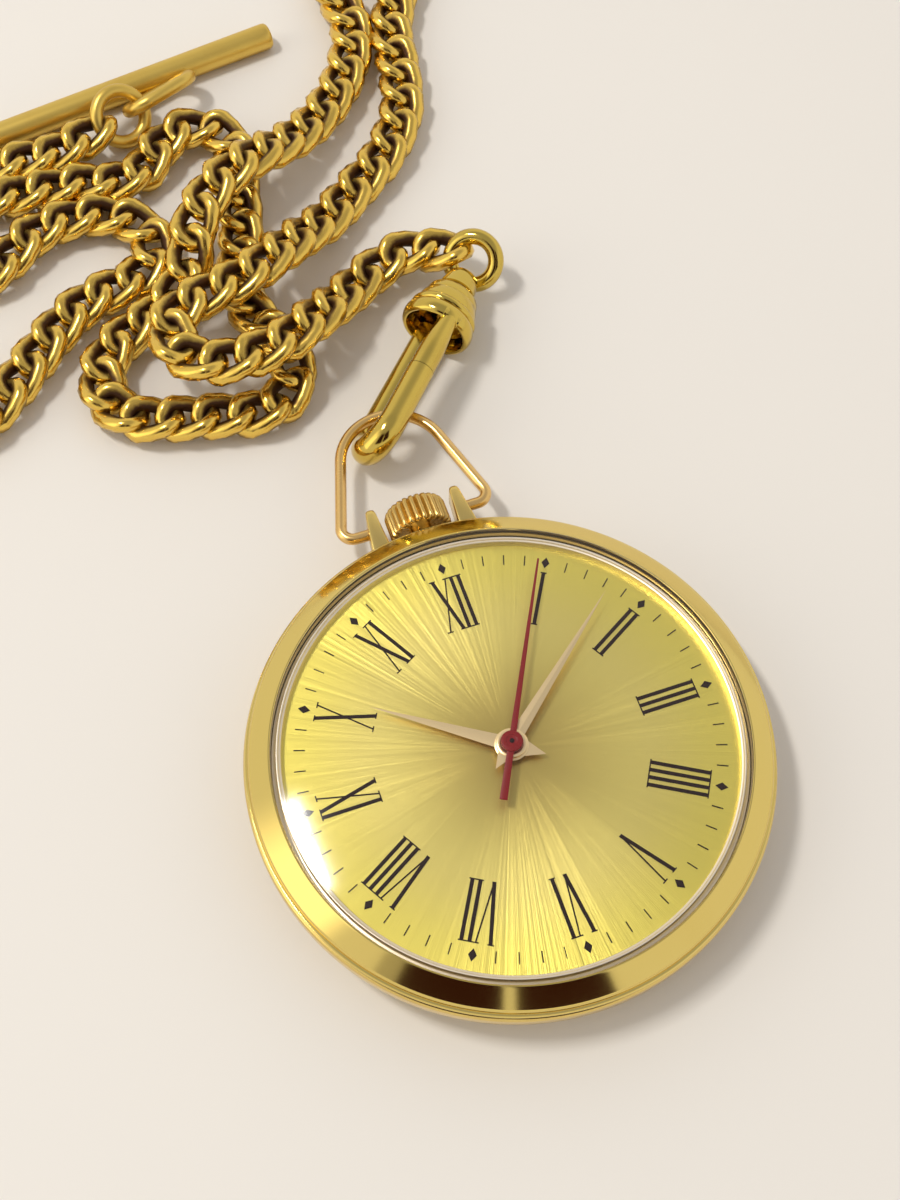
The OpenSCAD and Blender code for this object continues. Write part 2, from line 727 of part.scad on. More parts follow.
module main_plate() {
    lug_w = 1.4;
    color(brass) difference() {
        union() {
            translate([0, 0, plate_z0]) cylinder(r = plate_r, h = plate_top - plate_z0);
            translate([0, 0, bridge_top]) ring(plate_r, skirt_in, plate_z0 - bridge_top + eps);
            translate([-lug_w / 2, pilot_y + crown_pull, stem_z - 0.6])
                cube([lug_w, 0.45, plate_z0 - stem_z + 0.6 + eps]);
            at(lever_pivot, stem_z - keyless_t)
                cylinder(r = key_post_r, h = plate_z0 - stem_z + keyless_t + eps);
            at(yoke_pivot, stem_z - keyless_t)
                cylinder(r = key_post_r, h = plate_z0 - stem_z + keyless_t + eps);
        }
        at(barrel_at, plate_z0 - eps) cylinder(r = drum_r + 0.2, h = barrel_z1 - plate_z0 + run);
        at(barrel_at, plate_z0) cylinder(r = arbor_foot_r + slip, h = 0.8);
        difference() {
            union() {
                at([0, 0], motion_z) cylinder(r = hour_n * hour_m / 2 + 0.3, h = 2);
                at(minute_at, motion_z) cylinder(r = minute_n * motion_m / 2 + 0.25, h = 2);
                at(setting_at, motion_z - 0.15) cylinder(r = setting_n * motion_m / 2 + 0.25, h = 2);
            }
            at(minute_at, motion_z - 1) cylinder(r = minute_stud_r, h = 2);
            at(setting_at, motion_z - 1) cylinder(r = setting_stud_r, h = 2);
        }
        translate([-1.65, sliding_y[0] - yoke_shift - 0.15, plate_z0 - eps])
            cube([3.3, winding_y[1] - sliding_y[0] + yoke_shift + 0.3, 0.55]);
        at([0, 0], plate_z0 - eps) cylinder(r = centre_tube_r + 2 * run, h = 3);
        for (p = [third_at, escape_at, pallet_at, balance_at])
            at(p, plate_z0 + jewel_set) cylinder(r = jewel_r + slip, h = jewel_t);
        for (p = [third_at, escape_at, pallet_at, balance_at])
            at(p, plate_z0 - eps) cylinder(r = arbor_r + run, h = 0.3);
        for (p = foot_at) at(p, dial_z0 - foot_l - run) cylinder(r = foot_r + slip, h = 2);
        translate([0, 0, stem_z]) {
            rod_y(stem_r + slip, skirt_in - 1, plate_r + 1);
            rod_y(pilot_r + slip, pilot_y, square_y + crown_pull);
        }
        for (s = screw_places) rotate(s[0]) translate([skirt_in + skirt_w / 2, 0, bridge_top - eps])
            cylinder(r = screw_r + slip / 3, h = s[1]);
        for (p = pallet_feet) at(p, plate_z0 - eps) cylinder(r = screw_r + slip / 3, h = 0.5);
    }
}

// Rim angles of the bridge screws and the depth of each thread
screw_places = [[20, 0.95], [72, 0.95], [160, 0.95], [204, 0.95], [298, 0.95], [314, 0.95]];
bridge_rim = plate_r - 0.1;

// Bridge blank: a plan cut off at the movement's rim and drilled for the screws
module bridge(points) {
    difference() {
        translate([0, 0, bridge_z0]) linear_extrude(bridge_t) intersection() {
            circle(r = bridge_rim);
            polygon(points);
        }
        for (s = screw_places) rotate(s[0]) translate([skirt_in + skirt_w / 2, 0, bridge_z0 - eps])
            cylinder(r = screw_r + slip, h = bridge_t + 2 * eps);
    }
}

module barrel_bridge() {
    color(steel) difference() {
        bridge(plan * [[14, -1.5], [4.2, -1.6], [2, 1.4], [-0.6, 4.4], [-3.6, 6.4], [-4.6, 14], [14, 14]]);
        at(barrel_at, bridge_z0 - eps) cylinder(r = arbor_neck_r + run, h = bridge_t + 2 * eps);
        translate([-pinion_r - 0.2, sliding_y[0] - yoke_shift - 0.15, bridge_z0 - eps])
            cube([2 * pinion_r + 0.4, winding_y[1] - sliding_y[0] + yoke_shift + 0.3, bridge_t + 2 * eps]);
        at(crown_wheel_at, bridge_z0 - eps) cylinder(r = screw_r + slip, h = bridge_t + 2 * eps);
        at(click_at, bridge_z0 - eps) cylinder(r = screw_r + slip, h = bridge_t + 2 * eps);
        at(spring_at, bridge_z0 - eps) cylinder(r = screw_r + slip, h = bridge_t + 2 * eps);
    }
}

module train_bridge() {
    color(steel) difference() {
        bridge(plan * [[-14, 5.6], [-4.6, 5.4], [-1, 3.2], [0.9, 1.6], [1.6, 0], [1, -1.8], [-0.2, -4.8],
            [-2.6, -5.2], [-6.2, -6.4], [-14, -9]]);
        for (p = [third_at, escape_at, [0, 0]])
            at(p, bridge_z0 - eps) cylinder(r = jewel_r + slip, h = bridge_t + 2 * eps);
    }
}

module balance_cock() {
    color(steel) difference() {
        bridge([balance_at + plan * [-1.3, 0.6], balance_at + plan * [-0.4, 1.4],
            balance_at + plan * [1, 1], plan * [11, -6.5], plan * [12, -12], plan * [5, -14],
            balance_at + plan * [-0.2, -1.2], balance_at + plan * [-1.1, -0.6]]);
        at(balance_at, bridge_z0 - eps) cylinder(r = jewel_r + slip, h = bridge_t + 2 * eps);
    }
}

pallet_span = 2.4 * plan;
pallet_cross = [-lever_dir[1], lever_dir[0]];
pallet_feet = [pallet_at + pallet_span * pallet_cross, pallet_at - pallet_span * pallet_cross];
pallet_bridge_z = plate_top - 2;
pallet_bridge_t = 0.2;

module pallet_bridge() {
    color(steel) difference() {
        union() {
            at(pallet_at, pallet_bridge_z) rotate(lever_a + 90)
                translate([-pallet_span, -0.5, 0]) cube([2 * pallet_span, 1, pallet_bridge_t]);
            for (p = pallet_feet) at(p, pallet_bridge_z) cylinder(r = 0.6, h = plate_z0 - pallet_bridge_z);
        }
        at(pallet_at, pallet_bridge_z - eps) cylinder(r = 0.4 + slip, h = 1);
        for (p = pallet_feet) at(p, pallet_bridge_z - eps) cylinder(r = screw_r + slip, h = 2);
    }
}

module bridge_screws() {
    color([0.25, 0.3, 0.5]) {
        for (s = screw_places) rotate(s[0]) translate([skirt_in + skirt_w / 2, 0, bridge_z0])
            screw(bridge_t + 0.85);
        for (p = pallet_feet) at(p, pallet_bridge_z) screw(1.15, hr = pallet_head_r, hh = pallet_head_h);
        at(crown_wheel_at, ratchet_z) screw(1, hr = wide_head_r, hh = flat_head_h);
        at(click_at, ratchet_z) screw(1, hr = small_head_r, hh = flat_head_h);
        at(spring_at, ratchet_z) screw(1, hr = small_head_r, hh = flat_head_h);
    }
}

module jewels() {
    color(ruby) {
        for (p = [third_at, escape_at, [0, 0], balance_at])
            at(p, bridge_z0 + 0.1) ring(jewel_r, pivot_r + 0.02, jewel_t);
        at(pallet_at, pallet_bridge_z) ring(0.4, pivot_r + 0.02, pallet_bridge_t);
        for (p = [third_at, escape_at, pallet_at, balance_at])
            at(p, plate_z0 + jewel_set) ring(jewel_r, pivot_r + 0.02, jewel_t);
    }
}

// Barrel and winding

barrel_floor = 0.2;
drum_wall = 0.3;
cover_t = 0.18;
hub_r = 1.2;
arbor_foot_r = 0.5;
arbor_mid_r = 0.6;
arbor_neck_r = 0.8;
arbor_sq = 1;
spring_z0 = barrel_z0 + barrel_floor + run;
spring_z1 = barrel_z1 - cover_t - 2 * run;

module mainspring_barrel() {
    color(brass) at(barrel_at, barrel_z0) difference() {
        union() {
            cylinder(r = drum_r, h = barrel_z1 - barrel_z0);
            translate([0, 0, 0.07]) gear(barrel_n, barrel_m, 0.28, 1,
                atan2(-barrel_at[1], -barrel_at[0]) + 180 / barrel_n);
        }
        translate([0, 0, barrel_floor]) cylinder(r = drum_r - drum_wall, h = 2);
        translate([0, 0, -eps]) cylinder(r = arbor_mid_r + run, h = 1);
    }
}

module barrel_cover() {
    color(brass) at(barrel_at, barrel_z1 - cover_t)
        ring(drum_r - drum_wall - slip / 2, arbor_mid_r + run, cover_t);
}

module barrel_arbor() {
    color(steel) at(barrel_at) {
        translate([0, 0, spring_z0]) cylinder(r = hub_r, h = spring_z1 - spring_z0);
        translate([0, 0, bridge_top + run]) cylinder(r = arbor_mid_r, h = barrel_z1 - bridge_top - run);
        translate([0, 0, bridge_z0]) cylinder(r = arbor_neck_r, h = bridge_t + run);
        translate([0, 0, barrel_z1]) cylinder(r = arbor_foot_r, h = 0.3);
        translate([-arbor_sq / 2, -arbor_sq / 2, ratchet_z])
            cube([arbor_sq, arbor_sq, bridge_z0 - ratchet_z + eps]);
        translate([0, 0, ratchet_z - 0.22]) cylinder(r = 1, h = 0.22);
    }
}

module mainspring() {
    blade = mainspring_t / 2;
    color("lightsteelblue") at(barrel_at, spring_z0) linear_extrude(spring_z1 - spring_z0)
        polygon(spiral_points(hub_r + run + blade, drum_r - drum_wall - run - blade, 7, mainspring_t, 210));
}

crown_dir = atan2(crown_wheel_at[1] - barrel_at[1], crown_wheel_at[0] - barrel_at[0]);

module ratchet_wheel() {
    hole = arbor_sq + 2 * slip;
    color(steel) at(barrel_at, ratchet_z) difference() {
        gear(ratchet_n, ratchet_m, ratchet_t, 0.1, crown_dir);
        translate([-hole / 2, -hole / 2, -1]) cube([hole, hole, 2]);
    }
}

module crown_wheel() {
    color(steel) at(crown_wheel_at, ratchet_z)
        gear(crown_n, ratchet_m, ratchet_t, screw_r + slip, crown_dir + 180 + 180 / crown_n);
}

click_at = barrel_at + 5.2 * plan * [cos(40), sin(40)];
click_tip = barrel_at + 4.25 * plan * [cos(62), sin(62)];
spring_at = barrel_at + 5.6 * plan * [cos(18), sin(18)];

module click() {
    color(steel) at([0, 0], ratchet_z + 0.05) linear_extrude(ratchet_t) difference() {
        union() {
            at(click_at) circle(r = 0.55);
            polygon([click_at + [0.2, 0.5], click_tip + [0.25, 0.3], click_tip, click_at + [-0.3, -0.4]]);
        }
        at(click_at) circle(r = screw_r + slip);
    }
}

module click_spring() {
    tip = click_at + [0.62, 0.1];
    color(steel) at([0, 0], ratchet_z + 0.05) linear_extrude(ratchet_t) difference() {
        union() {
            at(spring_at) circle(r = 0.5);
            polygon([spring_at + [0.3, 0], tip + [0.22, 0.6], tip + [0.04, 0.6], spring_at + [0, 0.2]]);
        }
        at(spring_at) circle(r = screw_r + slip);
    }
}

// Wheel train; each wheel's teeth are turned to meet its neighbour's gaps

third_dir = atan2(third_at[1], third_at[0]);
escape_dir = atan2(escape_at[1], escape_at[0]);
barrel_dir = atan2(barrel_at[1], barrel_at[0]);

module centre_wheel() {
    color(brass) {
        translate([0, 0, centre_z]) train_wheel(centre_n, centre_m, centre_t, tube_bore, 5, third_dir);
        translate([0, 0, barrel_z0]) gear(centre_pn, barrel_m, 0.4, tube_bore, barrel_dir);
        translate([0, 0, centre_z]) ring(centre_tube_r, tube_bore, minute_z - centre_z);
    }
}

module third_wheel() {
    color(brass) at(third_at) {
        translate([0, 0, third_z])
            train_wheel(third_n, third_m, third_t, pivot_r, 5, third_dir + 180);
        translate([0, 0, centre_z - 0.08]) gear(third_pn, centre_m, 0.36, pivot_r,
            third_dir + 180 + 180 / third_pn);
        arbor(pivot_z0, pivot_z1);
    }
}

module fourth_wheel() {
    color(brass) {
        translate([0, 0, fourth_z]) train_wheel(fourth_n, fourth_m, fourth_t, pivot_r, 5, escape_dir);
        translate([0, 0, third_z - 0.08]) gear(fourth_pn, third_m, 0.32, pivot_r,
            third_dir + 180 / fourth_pn);
        translate([0, 0, pivot_z0]) cylinder(r = pivot_r, h = fourth_z - pivot_z0 + eps);
        translate([0, 0, bridge_top + run]) cylinder(r = seconds_r, h = second_z + 0.18 - bridge_top - run);
    }
}

module escape_wheel() {
    root = escape_r - 0.45;
    color(steel) at(escape_at) {
        translate([0, 0, escape_z]) linear_extrude(escape_t) difference() {
            polygon([for (i = [0 : escape_n - 1],
                c = [[0, root], [0.42, escape_r], [0.5, escape_r], [0.55, root]])
                let (a = (i + c[0]) * 360 / escape_n) c[1] * [cos(a), sin(a)]]);
            for (i = [0 : 3]) rotate(90 * i + 45) translate([0.95, 0]) circle(r = 0.42);
        }
        translate([0, 0, fourth_z - 0.06]) gear(escape_pn, fourth_m, 0.34, pivot_r,
            escape_dir + 180 + 180 / escape_pn);
        arbor(pivot_z0, pivot_z1);
    }
}

stone_a = 30;
stone_in = escape_r + 0.04 * plan;
stone_l = 0.36 * plan;

module pallet_fork() {
    fork_l = fork_dist - 0.72;
    color(steel) at(pallet_at) {
        translate([0, 0, escape_z]) rotate(lever_a) linear_extrude(escape_t) {
            translate([-0.3, -0.14]) square([fork_l - 0.2, 0.28]);
            difference() {
                translate([fork_l - 0.6, -0.36]) square([0.6, 0.72]);
                translate([fork_l - 0.35, -0.13]) square([1, 0.26]);
            }
            for (s = [-1, 1]) rotate(s * 100) translate([0, -0.15]) square([1.5 * plan, 0.3]);
        }
        translate([0, 0, pallet_bridge_z]) cylinder(r = pivot_r, h = pivot_z1 - pallet_bridge_z);
        translate([0, 0, pallet_bridge_z + pallet_bridge_t + run])
            cylinder(r = arbor_r, h = plate_z0 - pallet_bridge_z - pallet_bridge_t - 2 * run);
    }
}

module pallet_stones() {
    color(ruby) at(escape_at, escape_z + 0.01) rotate(lever_a)
        for (s = [-1, 1]) rotate(s * stone_a) translate([stone_in, -0.12, 0]) cube([stone_l, 0.24, 0.16]);
}

module balance_wheel() {
    rim_w = 0.5;
    balance_d = balance_plan_d * plan;
    balance_r = balance_d / 2;
    color(brass) at(balance_at, balance_z) {
        ring(balance_r, balance_r - rim_w, balance_t);
        difference() {
            translate([-balance_r + rim_w / 2, -0.2, 0.1]) cube([balance_d - rim_w, 0.4, 0.15]);
            cylinder(r = arbor_r + slip / 2, h = 1);
        }
    }
}

module balance_staff() {
    roller_z = plate_top - 1.95;
    color(steel) at(balance_at) {
        arbor(pivot_z0, pivot_z1);
        translate([0, 0, hairspring_z]) cylinder(r = 0.4, h = hairspring_h);
        translate([0, 0, roller_z]) {
            cylinder(r = 0.8, h = 0.15);
            rotate(lever_a + 180) translate([0.6, 0, 0.1]) cylinder(r = 0.09, h = 0.35);
        }
    }
}

module hairspring() {
    blade = hairspring_t / 2;
    color("steelblue") at(balance_at, hairspring_z) {
        linear_extrude(hairspring_h) polygon(spiral_points(0.4 + slip + blade, 2.4, 9, hairspring_t, 216));
        translate([2.4, 0, -hairspring_stud]) cylinder(r = 0.12, h = hairspring_h + hairspring_stud);
    }
}

hairspring_stud = hairspring_z - bridge_top;

module regulator() {
    color(steel) at(balance_at, bridge_z0 - 0.25) {
        ring(1, 0.7, 0.25);
        rotate(-40) translate([0.9, -0.14, 0]) cube([2.1, 0.28, 0.25]);
    }
}

// Motion work under the dial

module cannon_pinion() {
    color(steel) difference() {
        union() {
            translate([0, 0, motion_z + run]) rotate(atan2(minute_at[1], minute_at[0]))
                linear_extrude(0.2) polygon(tooth_points(cannon_n, motion_m));
            translate([0, 0, motion_z + run]) cylinder(r = cannon_r, h = minute_z + hand_t - motion_z - run);
        }
        translate([0, 0, motion_z - 1]) cylinder(r = centre_tube_r + slip / 2, h = minute_z - motion_z + 1);
        cylinder(r = tube_bore, h = minute_z + 1);
    }
}

module minute_wheel() {
    to_cannon = atan2(-minute_at[1], -minute_at[0]);
    color(brass) at(minute_at) {
        translate([0, 0, motion_z + run])
            gear(minute_n, motion_m, 0.2, minute_stud_r + slip, to_cannon + 180 / minute_n);
        translate([0, 0, motion_z + run]) gear(minute_pn, hour_m, 0.55, minute_stud_r + slip, to_cannon);
    }
}

module hour_wheel() {
    to_minute = atan2(minute_at[1], minute_at[0]);
    hour_gear_z = motion_z + 0.3;
    color(brass) {
        translate([0, 0, hour_gear_z]) gear(hour_n, hour_m, 0.2, cannon_r + run, to_minute + 180 / hour_n);
        translate([0, 0, hour_gear_z]) ring(hour_pipe_r, cannon_r + run, hour_z + hand_t - hour_gear_z);
    }
}

module setting_wheel() {
    to_minute = atan2(minute_at[1] - setting_at[1], minute_at[0]);
    color(steel) at(setting_at, motion_z - 0.1)
        gear(setting_n, motion_m, 0.35, setting_stud_r + slip, to_minute + 180 / setting_n);
}

// Keyless work round the stem

module sliding_pinion() {
    teeth = 10;
    groove = 0.3;
    color(steel) translate([0, 0, stem_z]) difference() {
        rod_y(pinion_r, sliding_y[0], sliding_y[1]);
        difference() {
            rod_y(pinion_r + 1, yoke_groove_y - groove / 2, yoke_groove_y + groove / 2);
            rod_y(0.8, 0, sliding_y[1] + 1);
        }
        for (i = [0 : teeth - 1]) rotate([0, (i + 0.5) * 360 / teeth, 0])
            translate([0.85, sliding_y[0] - eps, -0.12]) cube([1, 0.2, 0.24]);
        translate([-square_w / 2 - slip, 0, -square_w / 2 - slip])
            cube([square_w + 2 * slip, 20, square_w + 2 * slip]);
    }
}

module winding_pinion() {
    teeth = 12;
    color(steel) translate([0, 0, stem_z]) difference() {
        rod_y(pinion_r, winding_y[0], winding_y[1]);
        for (i = [0 : teeth - 1]) rotate([0, (i + 0.5) * 360 / teeth, 0])
            translate([pinion_r - 0.25, winding_y[0] - eps, -0.14]) cube([1, 2, 0.28]);
        rod_y(stem_r + slip, 0, winding_y[1] + 1);
    }
}

module setting_lever() {
    arm = [groove_r + run, groove_y] - lever_pivot;
    color(steel) at([0, 0], stem_z - keyless_t / 2) linear_extrude(keyless_t) difference() {
        union() {
            at(lever_pivot) circle(r = 0.44);
            at(lever_pivot) rotate(atan2(arm[1], arm[0])) translate([0, -0.15]) square([norm(arm), 0.3]);
        }
        at(lever_pivot) circle(r = key_post_r + slip);
    }
}

module yoke() {
    nose = [-0.85, yoke_groove_y];
    color(steel) at([0, 0], stem_z - keyless_t / 2) linear_extrude(keyless_t) difference() {
        union() {
            at(yoke_pivot) circle(r = 0.55);
            polygon([nose + [0, -0.1], nose + [0, 0.1], yoke_pivot + [0.3, 0.4], yoke_pivot + [0.3, -0.4]]);
        }
        at(yoke_pivot) circle(r = key_post_r + slip);
    }
}

// Clasp

module clasp_place() {
    translate(clasp_at) rotate(clasp_a) rotate([-clasp_tilt, 0, 0]) children();
}

module clasp_hook() {
    color(old_gold) clasp_place() {
        bar(hook_start, hook_end, hook_r);
        translate(hook_start) sphere(r = hook_r + weld);
        translate([nose_u, 0, 0]) rotate(90 - hook_lean) wire_arc(hook_gap, 180 + hook_lean, hook_r);
        bar([nose_u, -hook_gap, 0], [seam_u, -hook_gap, 0], hook_r);
    }
}

module clasp_gate() {
    color(old_gold) clasp_place() difference() {
        union() {
            bar([seam_u + seam_gap, -hook_gap, 0], gate_pin, gate_r);
            translate(gate_pin - [0, 0, knuckle_h / 2]) cylinder(r = gate_r + weld, h = knuckle_h);
        }
        translate(gate_pin - [0, 0, hook_r + 1]) cylinder(r = gate_pin_r + run, h = 2 * hook_r + 2);
    }
}

module clasp_pin() {
    color(old_gold) clasp_place() translate(gate_pin - [0, 0, gate_pin_l / 2])
        cylinder(r = gate_pin_r, h = gate_pin_l);
}

module clasp_collar() {
    collar_r = collar_d / 2;
    top_r = collar_top_d / 2;
    color(old_gold) difference() {
        translate(clasp_at) rotate(clasp_a) rotate([0, 90, 0]) difference() {
            rotate_extrude() polygon([
                [0, collar_u], [collar_r - 0.5, collar_u], [collar_r, collar_u + 0.5],
                [collar_r, collar_u + 1.3], [collar_r - 0.35, collar_u + 1.7],
                [collar_r - 0.25, collar_u + 2],
                [collar_r - 0.6, collar_u + 2.6], [top_r, collar_u + collar_l - 0.3],
                [top_r - 0.3, collar_u + collar_l], [0, collar_u + collar_l]
            ]);
            translate([0, 0, collar_u + collar_l - 1.5]) cylinder(r = spindle_r + run, h = 3);
        }
        clasp_place() {
            bar(hook_start, hook_end + [run, 0, 0], hook_r + slip);
            translate(gate_pin - [2, gate_r + 1, gate_r + run])
                cube([2 + gate_r + gate_room, 2 * gate_r + 1 + gate_room, 2 * gate_r + 2 * run]);
            translate(gate_pin - [0, 0, gate_pin_l / 2 + run])
                cylinder(r = gate_pin_r + slip / 3, h = gate_pin_l + 2 * run);
        }
    }
}

chain_a = 139;
chain_dir = [cos(chain_a), sin(chain_a), 0];
swivel_at = clasp_at + swivel_u * [cos(clasp_a), sin(clasp_a), 0];

module clasp_swivel() {
    color(old_gold) {
        translate(clasp_at) rotate(clasp_a) rotate([0, 90, 0])
            translate([0, 0, collar_u + collar_l - 1.4]) cylinder(r = spindle_r, h = 3.9);
        translate(swivel_at) rotate(chain_a) rotate([-45, 0, 0])
            wire_arc(swivel_ring_r, 360, swivel_wire_r);
    }
}

// Chain: the route is a smooth curve through its points, and links sit on it by length

function spline(p0, p1, p2, p3, t) = 0.5 * (2 * p1 + (p2 - p0) * t
    + (2 * p0 - 5 * p1 + 4 * p2 - p3) * t * t + (3 * p1 - p0 - 3 * p2 + p3) * t * t * t);
function route_at(i) = route[max(0, min(len(route) - 1, i))];
route_steps = 10;
curve = [
    for (i = [0 : len(route) - 2], k = [0 : route_steps - 1])
        spline(route_at(i - 1), route_at(i), route_at(i + 1), route_at(i + 2), k / route_steps),
    route[len(route) - 1]
];
reach = [for (i = 0, s = 0; i < len(curve); s = s + (i + 1 < len(curve) ? norm(curve[i + 1] - curve[i]) : 0),
    i = i + 1) s];
function find(s, i = 0) = i >= len(curve) - 2 || reach[i + 1] >= s ? i : find(s, i + 1);
function along(s) = let (i = find(s), f = (s - reach[i]) / (reach[i + 1] - reach[i]))
    curve[i] + f * (curve[i + 1] - curve[i]);
function heading(s) = along(s + link_pitch / 2) - along(max(0, s - link_pitch / 2));

// Places children at a length along the chain, X along it, rolled about it
module on_chain(s, roll) {
    d = heading(s);
    translate(along(s)) rotate([0, -asin(d[2] / norm(d)), atan2(d[1], d[0])])
        rotate([roll, 0, 0]) children();
}

module chain_links() {
    color(old_gold) for (i = [0 : link_count - 1])
        on_chain(i * link_pitch, i % 2 == 0 ? 45 : -45) link(link_l, link_w, link_r);
}

chain_end = (link_count - 1) * link_pitch;
end_dir = heading(chain_end);
end_a = atan2(end_dir[1], end_dir[0]);
end_unit = [cos(end_a), sin(end_a), 0];
link_reach = link_l / 2 - 2 * link_r;
tring_at = along(chain_end) + (link_reach + tring_r - tring_wire_r - link_slack) * end_unit;
eye_at = tring_at + (eye_l / 2 - 3 * tring_wire_r + tring_r - link_slack) * end_unit;
tbar_a = 9;
tbar_shift = 3;
eye_gap = 3.2;
ring_roll = link_count % 2 == 0 ? 45 : -45;
tbar_normal = [-sin(tbar_a), cos(tbar_a), 0];

module t_bar_ring() {
    color(old_gold) translate(tring_at) rotate(end_a) rotate([ring_roll, 0, 0])
        wire_arc(tring_r, 360, tring_wire_r);
}

module t_bar() {
    bar_at = [eye_at[0], eye_at[1], tbar_d / 2] + eye_gap * tbar_normal;
    color(old_gold) {
        translate(bar_at) rotate([0, 90, tbar_a]) translate([0, 0, -tbar_l / 2 - tbar_shift])
            cylinder(d = tbar_d, h = tbar_l);
        translate(eye_at) rotate(end_a) rotate([-ring_roll, 0, 0]) link(eye_l, eye_w, tring_wire_r);
    }
}

case_middle();
case_back();
back_seal();
bezel();
crystal();
tension_ring();
pendant_tube();
crown();
crown_seal();
winding_stem();
bow();
movement_ring();
case_screws();
dial();
dial_print();
hour_hand();
minute_hand();
second_hand();
main_plate();
barrel_bridge();
train_bridge();
balance_cock();
pallet_bridge();
bridge_screws();
jewels();
mainspring_barrel();
barrel_cover();
barrel_arbor();
mainspring();
ratchet_wheel();
crown_wheel();
click();
click_spring();
centre_wheel();
third_wheel();
fourth_wheel();
escape_wheel();
pallet_fork();
pallet_stones();
balance_wheel();
balance_staff();
hairspring();
regulator();
cannon_pinion();
minute_wheel();
hour_wheel();
setting_wheel();
sliding_pinion();
winding_pinion();
setting_lever();
yoke();
clasp_hook();
clasp_gate();
clasp_pin();
clasp_collar();
clasp_swivel();
chain_links();
t_bar_ring();
t_bar();
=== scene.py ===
import math

import bpy
from mathutils import Matrix, Vector


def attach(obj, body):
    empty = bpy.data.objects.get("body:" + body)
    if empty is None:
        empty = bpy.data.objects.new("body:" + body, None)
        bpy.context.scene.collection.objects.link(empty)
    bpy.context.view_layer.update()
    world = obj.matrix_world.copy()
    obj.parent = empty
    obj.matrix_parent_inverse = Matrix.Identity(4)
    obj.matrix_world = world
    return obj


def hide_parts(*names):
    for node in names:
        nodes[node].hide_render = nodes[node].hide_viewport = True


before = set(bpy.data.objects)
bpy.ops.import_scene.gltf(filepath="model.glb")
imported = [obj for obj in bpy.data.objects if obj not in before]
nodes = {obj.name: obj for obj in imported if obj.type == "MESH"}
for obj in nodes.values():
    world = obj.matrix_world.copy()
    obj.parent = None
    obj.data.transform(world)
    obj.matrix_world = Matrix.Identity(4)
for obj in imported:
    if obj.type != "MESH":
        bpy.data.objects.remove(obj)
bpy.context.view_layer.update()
scene = bpy.context.scene
scene.view_settings.view_transform = "Standard"
mm = 0.001  # lengths below are in millimetres, angles in degrees
weld = 0.001 * mm
print("frame loaded", len(nodes))

# Camera: found from the round of the bezel, the ticks of the dial and the crown.
photoCamera = {
    "target": (-0.124, 14.15, 5.0),
    "distance": 132.27,
    "azimuth": -20.789,
    "elevation": 63.874,
    "roll": 1.812,
    "lens": 48.144,
    "sensor": 36,
    "near": 5,
    "far": 20000,
}


def placeCamera(setup):
    turn, rise, roll = (math.radians(setup[k]) for k in ("azimuth", "elevation", "roll"))
    back = Vector((math.sin(turn) * math.cos(rise), -math.cos(turn) * math.cos(rise), math.sin(rise)))
    right = (-back).cross(Vector((0, 0, 1))).normalized()
    up = right.cross(-back)
    across = right * math.cos(roll) + up * math.sin(roll)
    upward = up * math.cos(roll) - right * math.sin(roll)
    place = Matrix((across, upward, back)).transposed().to_4x4()
    place.translation = (Vector(setup["target"]) + back * setup["distance"]) * mm
    bpy.ops.object.camera_add()
    camera = bpy.context.object
    camera.name = "photoCamera"
    camera.matrix_world = place
    camera.data.lens = setup["lens"]
    camera.data.sensor_width = setup["sensor"]
    camera.data.clip_start = setup["near"] * mm
    camera.data.clip_end = setup["far"] * mm
    scene.camera = camera


placeCamera(photoCamera)
print("camera placed")


# Modelling helpers.
def clearSelection():
    if bpy.context.object and bpy.context.object.mode != "OBJECT":
        bpy.ops.object.mode_set(mode="OBJECT")
    bpy.ops.object.select_all(action="DESELECT")


def pick(*pieces):
    clearSelection()
    for piece in pieces:
        piece.select_set(True)
    bpy.context.view_layer.objects.active = pieces[0]


def pickVertices(piece, test):
    pick(piece)
    bpy.ops.object.mode_set(mode="EDIT")
    bpy.ops.mesh.select_mode(type="VERT")
    bpy.ops.mesh.select_all(action="DESELECT")
    bpy.ops.object.mode_set(mode="OBJECT")
    for vertex in piece.data.vertices:
        vertex.select = test(vertex.co / mm)
    bpy.ops.object.mode_set(mode="EDIT")


def tidyMesh(piece, angle=32):
    pick(piece)
    bpy.ops.object.mode_set(mode="EDIT")
    bpy.ops.mesh.select_all(action="SELECT")
    bpy.ops.mesh.remove_doubles(threshold=weld)
    bpy.ops.mesh.normals_make_consistent(inside=False)
    bpy.ops.object.mode_set(mode="OBJECT")
    bpy.ops.object.shade_smooth_by_angle(angle=math.radians(angle))
    return piece


def setPlace(piece, place):
    pick(piece)
    piece.matrix_world = place
    bpy.ops.object.transform_apply(location=True, rotation=True, scale=True)
    return piece


def joinPieces(name, *pieces):
    pick(*pieces)
    bpy.ops.object.join()
    pieces[0].name = pieces[0].data.name = name
    return pieces[0]


